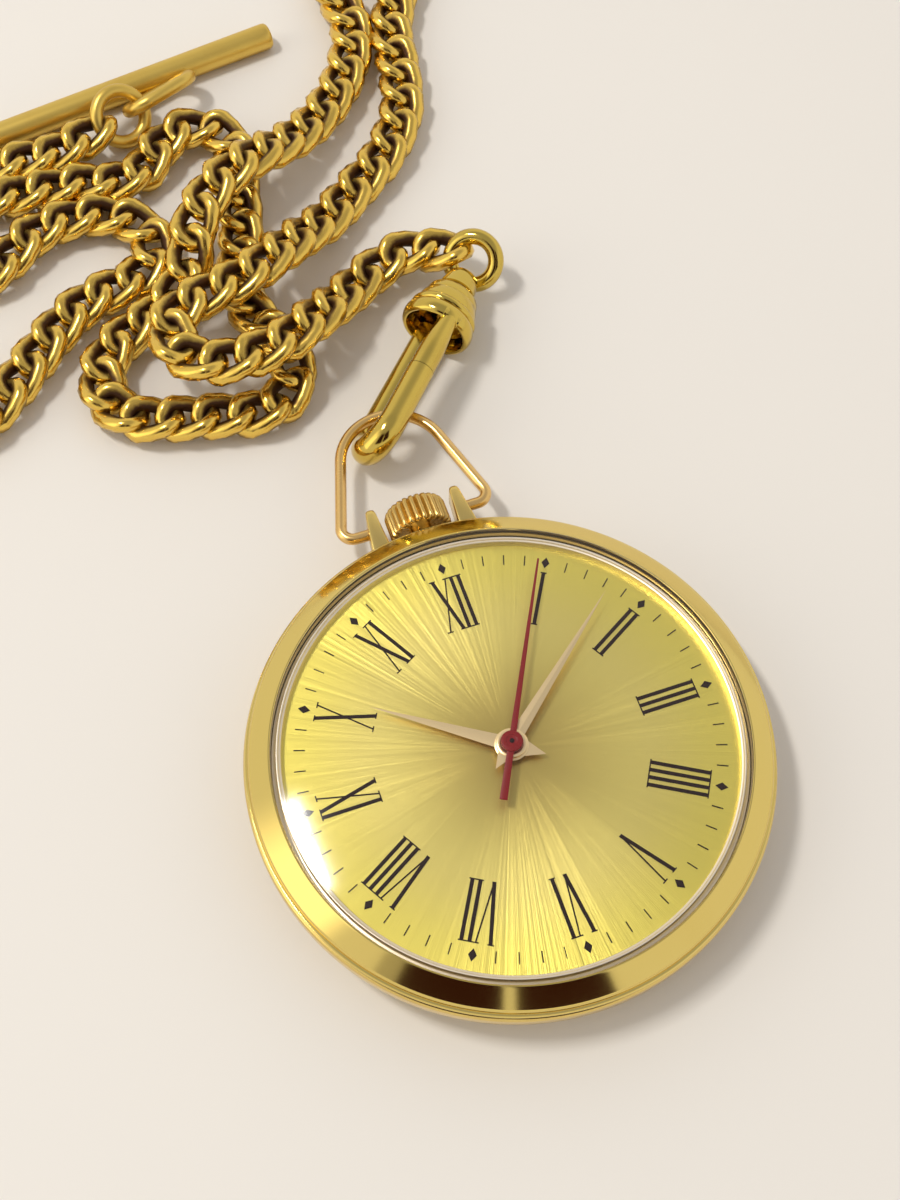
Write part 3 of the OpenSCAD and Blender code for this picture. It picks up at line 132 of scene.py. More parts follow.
# A profile of (radius, height) rows turned about Z.
def turned(name, profile, steps, closed=False, angle=32):
    clearSelection()
    bpy.ops.mesh.primitive_circle_add(vertices=steps, radius=profile[0][0] * mm)
    piece = bpy.context.object
    piece.name = piece.data.name = name
    bpy.ops.object.mode_set(mode="EDIT")
    bpy.ops.mesh.select_all(action="SELECT")
    bpy.ops.transform.translate(value=(0, 0, profile[0][1] * mm))
    rows = profile + profile[:1] if closed else profile
    for (lastR, lastZ), (nextR, nextZ) in zip(rows, rows[1:]):
        bpy.ops.mesh.extrude_region_move(TRANSFORM_OT_translate={"value": (0, 0, (nextZ - lastZ) * mm)})
        grow = nextR / lastR
        bpy.ops.transform.resize(value=(grow, grow, 1), center_override=(0, 0, 0))
    bpy.ops.mesh.select_all(action="SELECT")
    bpy.ops.mesh.remove_doubles(threshold=weld)
    if not closed:
        bpy.ops.mesh.fill_holes(sides=0)
    bpy.ops.object.mode_set(mode="OBJECT")
    return tidyMesh(piece, angle)


# A short round bar with a chamfer at both ends.
def peg(name, radius, length, middle, chamfer, steps):
    half = length / 2
    rows = [
        (middle, -half), (radius - chamfer, -half), (radius, chamfer - half),
        (radius, half - chamfer), (radius - chamfer, half), (middle, half),
    ]
    return turned(name, rows, steps)


def wired(name, points, radius, radii=None, steps=6):
    clearSelection()
    line = bpy.data.curves.new(name, "CURVE")
    line.dimensions = "3D"
    line.bevel_depth = radius * mm
    line.bevel_resolution = steps
    line.use_fill_caps = True
    spline = line.splines.new("POLY")
    spline.points.add(len(points) - 1)
    for index, (knot, point) in enumerate(zip(spline.points, points)):
        knot.co = (point[0] * mm, point[1] * mm, point[2] * mm, 1)
        knot.radius = radii[index] if radii else 1
    piece = bpy.data.objects.new(name, line)
    scene.collection.objects.link(piece)
    pick(piece)
    bpy.ops.object.convert(target="MESH")
    piece = bpy.context.object
    piece.name = piece.data.name = name
    return tidyMesh(piece, 50)


def arc(centre, radius, start, end, steps):
    angles = [math.radians(start + (end - start) * k / steps) for k in range(steps + 1)]
    return [(centre[0] + radius * math.cos(a), centre[1] + radius * math.sin(a), 0) for a in angles]


def between(first, second, part):
    return tuple(a + (b - a) * part for a, b in zip(first, second))


def placed(at, turn=0, roll=0):
    return (
        Matrix.Translation(Vector(at) * mm)
        @ Matrix.Rotation(math.radians(turn), 4, "Z")
        @ Matrix.Rotation(math.radians(roll), 4, "X")
    )


def alongX(place):
    return place @ Matrix.Rotation(math.pi / 2, 4, "Y")


def bevelled(piece, width, segments=3):
    pick(piece)
    bevel = piece.modifiers.new("edge", "BEVEL")
    bevel.width = width * mm
    bevel.segments = segments
    bevel.limit_method = "ANGLE"
    bpy.ops.object.modifier_apply(modifier=bevel.name)
    return tidyMesh(piece)


covered = set()  # nodes of the frame that a piece stands for


def settle(piece, body, finish, slotName, *replaced):
    piece.data.materials.clear()
    piece.data.materials.append(finish)
    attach(piece, body)
    if replaced:
        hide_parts(*replaced)
        covered.update(replaced)
    return piece


# Material helpers: a signal is a socket that can be added, multiplied and so on.
class Signal:
    def __init__(self, tree, socket):
        self.tree = tree
        self.socket = socket

    def combine(self, operation, first, second):
        node = self.tree.nodes.new("ShaderNodeMath")
        node.operation = operation
        for slot, value in zip(node.inputs, (first, second)):
            if isinstance(value, Signal):
                self.tree.links.new(value.socket, slot)
            else:
                slot.default_value = value
        return Signal(self.tree, node.outputs[0])

    def __add__(self, other):
        return self.combine("ADD", self, other)

    def __radd__(self, other):
        return self.combine("ADD", other, self)

    def __sub__(self, other):
        return self.combine("SUBTRACT", self, other)

    def __rsub__(self, other):
        return self.combine("SUBTRACT", other, self)

    def __mul__(self, other):
        return self.combine("MULTIPLY", self, other)

    def __rmul__(self, other):
        return self.combine("MULTIPLY", other, self)

    def __truediv__(self, other):
        return self.combine("DIVIDE", self, other)

    def __rtruediv__(self, other):
        return self.combine("DIVIDE", other, self)


class Finish:
    def __init__(self, name, world=False):
        self.owner = bpy.data.worlds.new(name) if world else bpy.data.materials.new(name)
        self.owner.use_nodes = True
        self.tree = self.owner.node_tree
        self.tree.nodes.clear()

    def node(self, kind, settings=None, sockets=None, out=0):
        made = self.tree.nodes.new(kind)
        for key, value in (settings or {}).items():
            setattr(made, key, value)
        for key, value in (sockets or {}).items():
            if isinstance(value, Signal):
                self.tree.links.new(value.socket, made.inputs[key])
            else:
                made.inputs[key].default_value = value
        return Signal(self.tree, made.outputs[out])

    def place(self):
        return self.node("ShaderNodeTexCoord", out="Object")

    def stretch(self, vector, scale):
        return self.node("ShaderNodeVectorMath", {"operation": "MULTIPLY"}, {0: vector, 1: scale})

    def noise(self, vector, scale, detail=3, rough=0.5):
        sockets = {"Vector": vector, "Scale": scale, "Detail": detail, "Roughness": rough}
        return self.node("ShaderNodeTexNoise", {}, sockets, "Fac")

    def cloud(self, vector, size, detail=3, rough=0.5):
        return self.noise(vector, 1 / (size * mm), detail, rough)

    def ramp(self, value, low, high):
        sockets = {"Value": value, "From Min": low, "From Max": high}
        return self.node("ShaderNodeMapRange", {"interpolation_type": "SMOOTHSTEP"}, sockets)

    def blend(self, factor, first, second):
        first, second = (c if isinstance(c, Signal) else (*c, 1) for c in (first, second))
        return self.node("ShaderNodeMix", {"data_type": "RGBA"}, {0: factor, 6: first, 7: second}, 2)

    def bump(self, height, depth):
        sockets = {"Height": height, "Distance": depth * mm, "Strength": 1.0}
        return self.node("ShaderNodeBump", {}, sockets)

    def surface(self, sockets):
        return self.end("ShaderNodeOutputMaterial", self.node("ShaderNodeBsdfPrincipled", {}, sockets))

    def end(self, kind, shader):
        output = self.tree.nodes.new(kind)
        self.tree.links.new(shader.socket, output.inputs["Surface"])
        return self.owner


# Polished or brushed metal with a little tarnish.
metalLook = {
    "cloudSize": 4.5, "fineSize": 0.35, "brushed": (1, 6, 1), "cloudShare": 0.7, "fineShare": 0.3,
    "tarnishFrom": 0.42, "tarnishTo": 0.72, "wear": 0.35,
}


def metal(name, bright, dull, rough, grain=0.06, depth=0.002):
    finish = Finish(name)
    where = finish.place()
    cloud = finish.cloud(where, metalLook["cloudSize"])
    fine = finish.cloud(finish.stretch(where, metalLook["brushed"]), metalLook["fineSize"], 4, 0.6)
    mixed = cloud * metalLook["cloudShare"] + fine * metalLook["fineShare"]
    tarnish = finish.ramp(mixed, metalLook["tarnishFrom"], metalLook["tarnishTo"])
    return finish.surface({
        "Base Color": finish.blend(tarnish * metalLook["wear"], bright, dull),
        "Metallic": 1.0,
        "Roughness": rough + grain * fine + grain * cloud,
        "Normal": finish.bump(fine, depth),
    })


# Old gold with patina and painted shade: dark where the links' own attribute marks a hollow.
patinaAndShadeLook = {
    "cloudSize": 1.6, "cloudShare": 0.5, "darkFrom": 0.62, "darkTo": 1.05, "lessMetal": 0.35,
    "cloudRough": 0.12, "darkRough": 0.25, "depth": 0.02,
}


def patinaAndShade(name, bright, dull, rough):
    finish = Finish(name)
    cloud = finish.cloud(finish.place(), patinaAndShadeLook["cloudSize"], 4, 0.6)
    deep = finish.node("ShaderNodeAttribute", {"attribute_name": "recess"}, out="Fac")
    # Painted shade together with patina: the inside of each link's wire, where shade falls between links, is
    # made darker.
    mixed = deep + cloud * patinaAndShadeLook["cloudShare"]
    dark = finish.ramp(mixed, patinaAndShadeLook["darkFrom"], patinaAndShadeLook["darkTo"])
    return finish.surface({
        "Base Color": finish.blend(dark, bright, dull),
        "Metallic": 1.0 - dark * patinaAndShadeLook["lessMetal"],
        "Roughness": rough + cloud * patinaAndShadeLook["cloudRough"] + dark * patinaAndShadeLook["darkRough"],
        "Normal": finish.bump(cloud, patinaAndShadeLook["depth"]),
    })


# Rays brushed out from the middle, in three tones from the middle to the rim.
dialLook = {
    "rays": 420.0, "broad": 60.0, "hubFrom": 1.5, "hubTo": 11.5, "rimFrom": 10.5, "rimTo": 17.5,
    "rough": 0.335, "broadRough": 0.02, "depth": 0.0011,
}


def sunburst(name, hub, bright, rim):
    finish = Finish(name)
    flat = finish.stretch(finish.place(), (1, 1, 0))
    spoke = finish.node("ShaderNodeVectorMath", {"operation": "NORMALIZE"}, {0: flat})
    away = finish.node("ShaderNodeVectorMath", {"operation": "LENGTH"}, {0: flat}, "Value") / mm
    rays = finish.noise(spoke, dialLook["rays"], 2)
    broad = finish.noise(spoke, dialLook["broad"], 4)
    inner = finish.blend(finish.ramp(away + broad, dialLook["hubFrom"], dialLook["hubTo"]), hub, bright)
    return finish.surface({
        "Base Color": finish.blend(finish.ramp(away, dialLook["rimFrom"], dialLook["rimTo"]), inner, rim),
        "Metallic": 1.0,
        "Roughness": dialLook["rough"] + broad * dialLook["broadRough"],
        "Normal": finish.bump(rays * away, dialLook["depth"]),
    })


glassLook = {"tint": (0.985, 0.985, 0.975, 1), "bending": 1.47, "rough": 0.07, "smear": 0.04, "smearSize": 6}


def glass(name):
    finish = Finish(name)
    smear = finish.cloud(finish.place(), glassLook["smearSize"])
    clear = finish.node("ShaderNodeBsdfTransparent", {}, {"Color": glassLook["tint"]})
    rough = glassLook["rough"] + smear * glassLook["smear"]
    shine = finish.node("ShaderNodeBsdfGlossy", {}, {"Roughness": rough})
    edge = finish.node("ShaderNodeFresnel", {}, {"IOR": glassLook["bending"]})
    behind = finish.node("ShaderNodeNewGeometry", out="Backfacing")
    mixed = finish.node("ShaderNodeMixShader", {}, {0: edge * (1.0 - behind), 1: clear, 2: shine})
    return finish.end("ShaderNodeOutputMaterial", mixed)


matteLook = {"cloudRough": 0.1, "depth": 0.003}


def matte(name, bright, dull, rough, size=0.6, shine=0.5):
    finish = Finish(name)
    cloud = finish.cloud(finish.place(), size, 4)
    return finish.surface({
        "Base Color": finish.blend(cloud, bright, dull),
        "Roughness": rough + cloud * matteLook["cloudRough"],
        "Specular IOR Level": shine,
        "Normal": finish.bump(cloud, matteLook["depth"]),
    })


# Colour where clean, colour where dull, roughness, grain.
caseGold = metal("case_gold", (0.77, 0.57, 0.185), (0.66, 0.45, 0.12), 0.13)
bezelGold = metal("bezel_gold", (0.77, 0.59, 0.18), (0.74, 0.55, 0.15), 0.07, 0.03, depth=0.0003)
handGold = metal("hand_gold", (0.98, 0.75, 0.42), (0.92, 0.66, 0.34), 0.26)
bowGold = metal("bow_gold", (0.80, 0.53, 0.20), (0.62, 0.36, 0.10), 0.2)
crownGold = metal("crown_gold", (0.66, 0.44, 0.14), (0.44, 0.26, 0.07), 0.2)
claspGold = metal("clasp_gold", (0.66, 0.48, 0.10), (0.48, 0.31, 0.055), 0.07, 0.05)
# The chain's dark second colour is patina together with painted shade in the links' hollows.
chainGold = patinaAndShade("chain_gold", (0.82, 0.55, 0.11), (0.055, 0.020, 0.006), 0.15)
barGold = metal("bar_gold", (0.74, 0.52, 0.12), (0.52, 0.32, 0.06), 0.26, 0.12)
dialGold = sunburst("dial_gold", (0.57, 0.43, 0.125), (0.84, 0.70, 0.21), (0.87, 0.735, 0.155))
clearGlass = glass("crystal_clear")
inkBrown = matte("ink_brown", (0.022, 0.008, 0.006), (0.016, 0.006, 0.005), 0.5, shine=0.15)
redLacquer = matte("hand_red", (0.26, 0.007, 0.008), (0.20, 0.006, 0.006), 0.35, shine=0.25)
brass = metal("brass", (0.80, 0.60, 0.30), (0.62, 0.43, 0.18), 0.25)
steel = metal("steel", (0.62, 0.62, 0.62), (0.45, 0.45, 0.46), 0.22)
bluedSteel = metal("blued_steel", (0.05, 0.08, 0.22), (0.03, 0.05, 0.14), 0.22)
springSteel = metal("spring_steel", (0.50, 0.50, 0.52), (0.36, 0.36, 0.38), 0.28)
ruby = matte("ruby", (0.42, 0.01, 0.06), (0.30, 0.005, 0.04), 0.1)
rubber = matte("seal", (0.015, 0.015, 0.016), (0.025, 0.025, 0.026), 0.6)
ringPale = metal("ring_pale", (0.98, 0.86, 0.70), (0.92, 0.78, 0.60), 0.3)
print("finishes made")

# The chain: curb links, each an oval turned a quarter along its length.
chain = {
    "wire": 1.55, "length": 6.1, "width": 4.6, "pitch": 3.2, "links": 110, "twist": -90,
    "segments": 24, "sides": 8,  # of one link's mesh
    "low": 1.84, "high": 5.7,  # a link's middle on the table and on another strand
    "heading": 1.2,  # how far to each side a link takes its direction from
    "cord": 4.6, "pathStep": 0.8,
}
low, high = chain["low"], chain["high"]
route = [
    (11.4, 49.45, 3.45), (8.3, 50.9, 2.7), (4.6, 50, 2.3), (1.4, 47.8, 3), (-1.8, 45.2, 4.8),
    (-5.4, 43, high), (-9.2, 42.3, high), (-12.8, 42.8, high), (-15, 45.3, high),
    (-14.2, 48.5, high), (-11, 49.9, high), (-7.2, 50.8, high), (-3.6, 52.7, 5.2),
    (-0.4, 55.2, 3.6), (2.6, 57.4, 2.3), (6, 60.2, low), (10.4, 63.8, low), (13.6, 68.4, low),
    (15, 73.4, low), (15.8, 78.2, low), (17.4, 82.2, low), (19.4, 86, low), (18.7, 89.3, low),
    (15.8, 90.9, low), (12.9, 89.5, low), (12, 86, low), (12.3, 82, low), (11.6, 78.4, low),
    (9.2, 74, low), (5.6, 70, 2.15), (1.6, 66.6, 3.6), (-2.6, 64, 5.6), (-6.8, 61.6, 5.9),
    (-9.9, 58.2, 5.2), (-11.8, 54.6, 3.6), (-14.8, 52.4, 2.2), (-18.2, 51, low), (-21.2, 48.6, low),
    (-22.2, 45, low), (-20.4, 41.9, low), (-16.4, 40.4, low), (-12.2, 39.4, low), (-9.1, 38.9, low),
    (-6.4, 40.2, low), (-5.4, 43, low), (-6.1, 46.4, low), (-7.5, 50.4, low), (-7.3, 53.6, low),
    (-6, 57.6, low), (-5, 61.6, low), (-4.3, 65.2, low), (-3.6, 68.6, low), (-4.6, 71.6, low),
    (-7.6, 72.75, low), (-10.5, 71.2, low), (-12.7, 69, low), (-15.7, 68.5, low),
    (-18.9, 69.4, low), (-22.2, 69.8, low), (-25.6, 70, low), (-29, 69.9, low), (-32.2, 68.5, low),
    (-33.8, 65.6, low), (-32.7, 62.4, low), (-29.7, 61.4, low), (-26.9, 63, low),
    (-23.8, 64.9, low), (-20.2, 65.4, low), (-16.8, 64.5, low), (-14.3, 62.1, low),
    (-14.1, 58.9, low), (-16.6, 56.6, low), (-21, 55.6, low), (-25, 53, low), (-28.6, 49.6, low),
    (-32, 46.7, low), (-35.42, 45.3, low), (-38.24, 46.4, low), (-39.74, 49.2, low),
    (-40.04, 53.2, low), (-39.52, 58.6, low), (-38.8, 63.8, low), (-37.3, 68.8, low),
    (-34.4, 72.8, low), (-30.2, 74.3, low), (-26.6, 74, low), (-23.2, 73.6, 2.1),
    (-19.8, 73.4, 2.35), (-16.35, 74.51, 2.45), (-11.9, 76.31, 2.45),
]


def smoothRoute(knots, steps=10):
    points = []
    knots = [Vector(k) for k in knots]
    last = len(knots) - 1
    for i in range(last):
        a, b, c, d = knots[max(i - 1, 0)], knots[i], knots[i + 1], knots[min(i + 2, last)]
        for k in range(steps):
            t = k / steps
            bend = (2 * a - 5 * b + 4 * c - d) * t**2 + (3 * b - a - 3 * c + d) * t**3
            points.append(0.5 * (2 * b + (c - a) * t + bend))
    return points + [knots[-1]]


chainLine = smoothRoute(route)
chainRun = [0.0]
for first, second in zip(chainLine, chainLine[1:]):
    chainRun.append(chainRun[-1] + (second - first).length)


def onChain(distance):
    for i in range(len(chainRun) - 1):
        if chainRun[i + 1] >= distance:
            part = (distance - chainRun[i]) / (chainRun[i + 1] - chainRun[i])
            return chainLine[i].lerp(chainLine[i + 1], part)
    return chainLine[-1]


def linkPlace(distance):
    ahead, behind = onChain(distance + chain["heading"]), onChain(max(distance - chain["heading"], 0))
    forward = (ahead - behind).normalized()
    side = Vector((0, 0, 1)).cross(forward).normalized()
    place = Matrix((forward, side, forward.cross(side))).transposed().to_4x4()
    place.translation = onChain(distance) * mm
    return place


# An oval of wire along X; "recess" is 1 on the inside of the wire and 0 on the outside, and marks where the
# chain's finish paints patina and shade.
def wireOval(name, length, width, wire, twist=0, segments=40, sides=14):
    clearSelection()
    major = (width - wire) / 2
    bpy.ops.mesh.primitive_torus_add(
        major_segments=segments, minor_segments=sides, major_radius=major * mm, minor_radius=wire / 2 * mm
    )
    oval = bpy.context.object
    oval.name = oval.data.name = name
    recess = oval.data.attributes.new("recess", "FLOAT", "POINT")
    for vertex, inward in zip(oval.data.vertices, recess.data):
        away = math.hypot(vertex.co.x, vertex.co.y) / mm
        inward.value = min(max(0.5 + (major - away) / wire, 0), 1)
    for way in (1, -1):
        pickVertices(oval, lambda co: co.x * way > 0.01)
        bpy.ops.transform.translate(value=(way * (length - width) / 2 * mm, 0, 0))
    bpy.ops.object.mode_set(mode="OBJECT")
    if twist:
        turn = oval.modifiers.new("turn", "SIMPLE_DEFORM")
        turn.deform_method = "TWIST"
        turn.deform_axis = "X"
        turn.angle = math.radians(twist)
        bpy.ops.object.modifier_apply(modifier=turn.name)
    return tidyMesh(oval, 60)


def wireRing(name, size):
    width = 2 * size["radius"] + size["wire"]
    made = wireOval(name, width, width, size["wire"], segments=size["segments"])
    return setPlace(made, placed(size["centre"], size["turn"], size["roll"]))


linkSize = [chain[k] for k in ("length", "width", "wire", "twist", "segments", "sides")]
link = wireOval("chainLink", *linkSize)
copies = []
for index in range(chain["links"]):
    pick(link)
    bpy.ops.object.duplicate()
    copy = bpy.context.object
    copy.matrix_world = linkPlace(index * chain["pitch"])
    copies.append(copy)
pick(*copies)
bpy.ops.object.transform_apply(location=True, rotation=True, scale=True)
chainPiece = joinPieces("chainCurb", *copies)
settle(chainPiece, "clasp", chainGold, "chain_gold", "chain_links")
pick(link)
bpy.ops.object.delete()
print("chain made", len(chainPiece.data.polygons))

# T-bar with its long eye, and the ring between eye and chain.
bar = {"centre": (-12.115, 80.176, 1.3), "turn": 9.0, "half": 16.5, "radius": 1.3, "steps": 40}
eye = {"centre": (-8.651, 77.485, 2.45), "turn": 21.13, "roll": -45, "length": 8.4, "width": 5.3, "wire": 1.3}
ring = {
    "centre": (-12.942, 75.827, 2.45), "turn": 21.13, "roll": 45, "radius": 2.45, "wire": 1.3, "segments": 40,
}
barRounding = [(1.0, 0), (0.45, 0.02), (0.2, 0.1), (0.06, 0.25), (0, 0.5), (0, 0.9)]  # in from side and end
barRows = [(bar["radius"] - side, bar["half"] - end) for side, end in barRounding]
barRows += [(r, -z) for r, z in reversed(barRows)]
barShaft = turned("barShaft", barRows, bar["steps"])
setPlace(barShaft, alongX(placed(bar["centre"], bar["turn"])))
barEye = wireOval("barEye", eye["length"], eye["width"], eye["wire"])
setPlace(barEye, placed(eye["centre"], eye["turn"], eye["roll"]))
barPiece = settle(joinPieces("tBar", barShaft, barEye), "clasp", barGold, "chain_gold", "t_bar")
ringPiece = settle(wireRing("tBarRing", ring), "clasp", barGold, "chain_gold", "t_bar_ring")

# The clasp's hook: a straight shank, the bend, and the nose up to the seam with the gate.
clasp = {
    "at": (1.05, 33.85, 3.45), "turn": 47, "roll": -60, "gap": 2.35, "nose": -1.6, "wire": 1.22, "lean": 3.5,
    "seam": 4.2, "collar": 10.6,
    "swell": 0.12, "swellAt": 27, "swellSpan": 9,  # thicker in the bend, by points along the line
}
claspPlace = placed(clasp["at"], clasp["turn"], clasp["roll"])
claspAxis = alongX(placed(clasp["at"], clasp["turn"]))
lean = math.radians(clasp["lean"])
nose, gap = clasp["nose"], clasp["gap"]
bendStart = (nose + gap * math.sin(lean), gap * math.cos(lean), 0)
shankTop = (clasp["collar"], bendStart[1] - (clasp["collar"] - bendStart[0]) * math.tan(lean), 0)
hookLine = [between(shankTop, bendStart, k / 12) for k in range(13)]
hookLine += arc((nose, 0), gap, 90 - clasp["lean"], 270, 28)[1:]
hookLine += [between((nose, -gap, 0), (clasp["seam"], -gap, 0), k / 8) for k in range(1, 9)]
hookRadii = [
    1 + clasp["swell"] * math.exp(-(((i - clasp["swellAt"]) / clasp["swellSpan"]) ** 2))
    for i in range(len(hookLine))
]
hookPiece = setPlace(wired("claspHook", hookLine, clasp["wire"], hookRadii, 8), claspPlace)
settle(hookPiece, "clasp", claspGold, "chain_gold", "clasp_hook")

# The gate, thinner towards its knuckle, and the pin it turns on.
gate = {
    "start": (4.3, -2.35, 0), "pin": (10.4, -2.5, 0), "wire": 1.18, "taper": 0.3, "taperFrom": 0.35,
    "knuckle": 0.85, "width": 1.8, "pinR": 0.35, "pinL": 3.8,
}
gateParts = [k / 8 for k in range(9)]
gateLine = [between(gate["start"], gate["pin"], part) for part in gateParts]
gateRadii = [
    1 - gate["taper"] * max(0, part - gate["taperFrom"]) / (1 - gate["taperFrom"]) for part in gateParts
]
gateBar = setPlace(wired("gateBar", gateLine, gate["wire"], gateRadii, 8), claspPlace)
pinPlace = claspPlace @ Matrix.Translation(Vector(gate["pin"]) * mm)
knuckle = setPlace(peg("knuckle", gate["knuckle"], gate["width"], 0.2, 0.1, 32), pinPlace)
settle(joinPieces("claspGate", gateBar, knuckle), "gate", claspGold, "chain_gold", "clasp_gate")
pin = setPlace(peg("claspPin", gate["pinR"], gate["pinL"], 0.1, 0.08, 24), pinPlace)
settle(pin, "clasp", claspGold, "chain_gold", "clasp_pin")

# Turned collar, and the swivel with its ring.
collarRows = [
    (0.6, 11.3), (2.2, 11.3), (2.45, 11.1), (2.58, 10.4), (2.7, 9.95), (2.82, 9.76), (2.98, 9.7),
    (3.14, 9.76), (3.28, 9.93), (3.37, 10.2), (3.4, 10.5), (3.37, 10.8), (3.25, 11.07), (3.1, 11.23),
    (3.06, 11.32), (3.14, 11.4), (3.2, 11.55), (3.18, 11.75), (3.08, 11.92), (2.96, 12.0), (2.95, 12.1),
    (2.85, 12.5), (2.68, 13.1), (2.63, 13.16), (2.62, 13.24), (2.45, 13.85), (2.3, 14.08), (2.05, 14.2),
    (1.3, 14.2),
]
collar = setPlace(turned("claspCollar", collarRows, 72), claspAxis)
settle(collar, "clasp", claspGold, "chain_gold", "clasp_collar")
swivel = {
    "centre": (13.735, 47.453, 3.45), "turn": 139, "roll": -45, "radius": 2.2, "wire": 1.5, "segments": 44,
}
spindleRows = [
    (0.3, 12.9), (1.1, 12.9), (1.1, 14.5), (1.7, 14.55), (1.82, 14.65), (1.78, 14.9), (1.6, 15.7),
    (1.45, 16.3), (1.2, 16.6), (0.3, 16.7),
]
spindle = setPlace(turned("spindle", spindleRows, 48), claspAxis)
swivelPiece = joinPieces("claspSwivel", spindle, wireRing("swivelLoop", swivel))
settle(swivelPiece, "clasp", claspGold, "chain_gold", "clasp_swivel")

pathCount = int((chain["links"] - 1) * chain["pitch"] / chain["pathStep"]) + 1
chainPath = [tuple(onChain(k * chain["pathStep"]) * mm) for k in range(pathCount)]
print("clasp and T-bar made")

# Case: the back and the band share one curve from the rest up to the girth.
case = {"radius": 21.0, "rest": 13.0, "girth": 4.9, "steps": 192}


def sideRadius(z):
    below = 1 - min(z, case["girth"]) / case["girth"]
    return case["rest"] + (case["radius"] - case["rest"]) * math.sqrt(1 - below**2)


backSide = [(sideRadius(z), z) for z in (0.03, 0.1, 0.22, 0.4, 0.6, 0.85, 1.1, 1.4, 1.65, 1.8)]
backRows = [(0.05, 0.0), (12.6, 0.0), (case["rest"], 0.0)] + backSide
backRows += [(19.15, 1.86), (19.0, 1.88), (18.5, 1.88), (17.6, 1.2), (0.05, 0.6)]
settle(turned("caseBack", backRows, case["steps"]), "back", caseGold, "case_gold", "case_back")
bandRows = [
    (18.66, 1.92), (19.1, 1.92), (19.28, 1.95), (19.42, 2.0), (19.8, 2.2), (20.2, 2.5), (20.58, 2.92),
    (20.84, 3.4), (20.96, 3.85), (21.0, 4.3), (21.0, 4.9), (20.99, 5.1), (20.95, 5.22), (20.88, 5.31),
    (20.78, 5.37), (20.6, 5.38), (19.5, 5.38), (19.5, 5.95), (18.75, 5.95), (18.75, 5.6), (18.4, 5.6),
    (18.4, 2.8), (18.66, 2.8),
]
band = turned("caseBand", bandRows, case["steps"], closed=True)

# Two posts for the bow, narrowed to the tip and rounded over it.
post = {
    "inner": 3.0, "outer": 4.8, "foot": 20.0, "shoulder": 24.2, "low": 2.35, "high": 4.55,
    "tipX": 3.76, "narrow": 0.5, "bevel": 0.14,
    "rounding": ((0.32, 0.82, 0.94), (0.24, 0.45, 0.8)),  # rise, share of width, share of height
}
postSides = [(post["inner"], post["outer"]), (post["foot"], post["shoulder"]), (post["low"], post["high"])]
postSize = tuple((end - start) * mm for start, end in postSides)
postX, postY, postZ = ((start + end) / 2 for start, end in postSides)
posts = []
for side in (1, -1):
    clearSelection()
    bpy.ops.mesh.primitive_cube_add(size=1)
    made = bpy.context.object
    bpy.ops.object.mode_set(mode="EDIT")
    bpy.ops.mesh.select_all(action="SELECT")
    bpy.ops.transform.resize(value=postSize)
    bpy.ops.transform.translate(value=(side * postX * mm, postY * mm, postZ * mm))
    pickVertices(made, lambda co: co.y > postY)
    tip = (side * post["tipX"] * mm, post["shoulder"] * mm, postZ * mm)
    bpy.ops.transform.translate(value=(side * (post["tipX"] - postX) * mm, 0, 0))
    bpy.ops.transform.resize(value=(post["narrow"], 1, 1), center_override=tip)
    for rise, wide, tall in post["rounding"]:
        bpy.ops.mesh.extrude_region_move(TRANSFORM_OT_translate={"value": (0, rise * mm, 0)})
        bpy.ops.transform.resize(value=(wide, 1, tall), center_override=tip)
    bpy.ops.object.mode_set(mode="OBJECT")
    posts.append(bevelled(made, post["bevel"]))
settle(joinPieces("caseMiddle", band, *posts), "case", caseGold, "case_gold", "case_middle")

bezelRows = [
    (19.53, 5.42), (20.62, 5.42), (20.74, 5.46), (20.82, 5.53), (20.84, 5.62), (20.82, 5.7), (20.75, 5.76),
    (20.66, 5.78), (20.6, 5.8), (20.57, 5.86), (20.56, 6.02), (20.53, 6.14), (20.47, 6.24), (20.38, 6.32),
    (19.06, 7.1), (18.98, 7.16), (18.9, 7.2), (18.82, 7.195), (18.77, 7.15), (18.75, 7.08), (18.75, 6.05),
    (19.53, 6.05),
]
bezelPiece = turned("bezelRing", bezelRows, case["steps"], closed=True, angle=25)
settle(bezelPiece, "case", bezelGold, "case_gold", "bezel")

# The crystal: a shallow dome on a straight wall.
crystal = {"radius": 18.72, "wall": 0.36, "foot": 6.1, "edge": 7.65, "apex": 9.6, "thick": 0.6}
domeRise = crystal["apex"] - crystal["edge"]
domeR = (crystal["radius"] ** 2 + domeRise**2) / (2 * domeRise)


def domeZ(r, drop=0.0):
    return crystal["apex"] - domeR + math.sqrt((domeR - drop) ** 2 - r**2)


domeSteps = [0.05, 1.5, 3, 4.5, 6, 7.5, 9, 10.5, 12, 13.5, 15, 16.2, 17.2, 17.9]
wallOut, wallFoot, wallTop = crystal["radius"], crystal["foot"], crystal["edge"]
wallIn = wallOut - crystal["wall"]
crystalRows = [(r, domeZ(r, crystal["thick"])) for r in domeSteps]
crystalRows += [
    (18.2, 7.0), (18.33, 6.8), (wallIn, 6.5), (wallIn, wallFoot + 0.02), (wallIn + 0.02, wallFoot),
    (wallOut - 0.02, wallFoot), (wallOut, wallFoot + 0.02), (wallOut, wallTop - 0.2),
    (wallOut - 0.02, wallTop - 0.09), (wallOut - 0.08, wallTop - 0.02),
]
crystalRows += [(r, domeZ(r)) for r in reversed(domeSteps + [18.3, 18.5])]
crystalPiece = turned("crystalDome", crystalRows, case["steps"], angle=40)
settle(crystalPiece, "case", clearGlass, "crystal", "crystal")

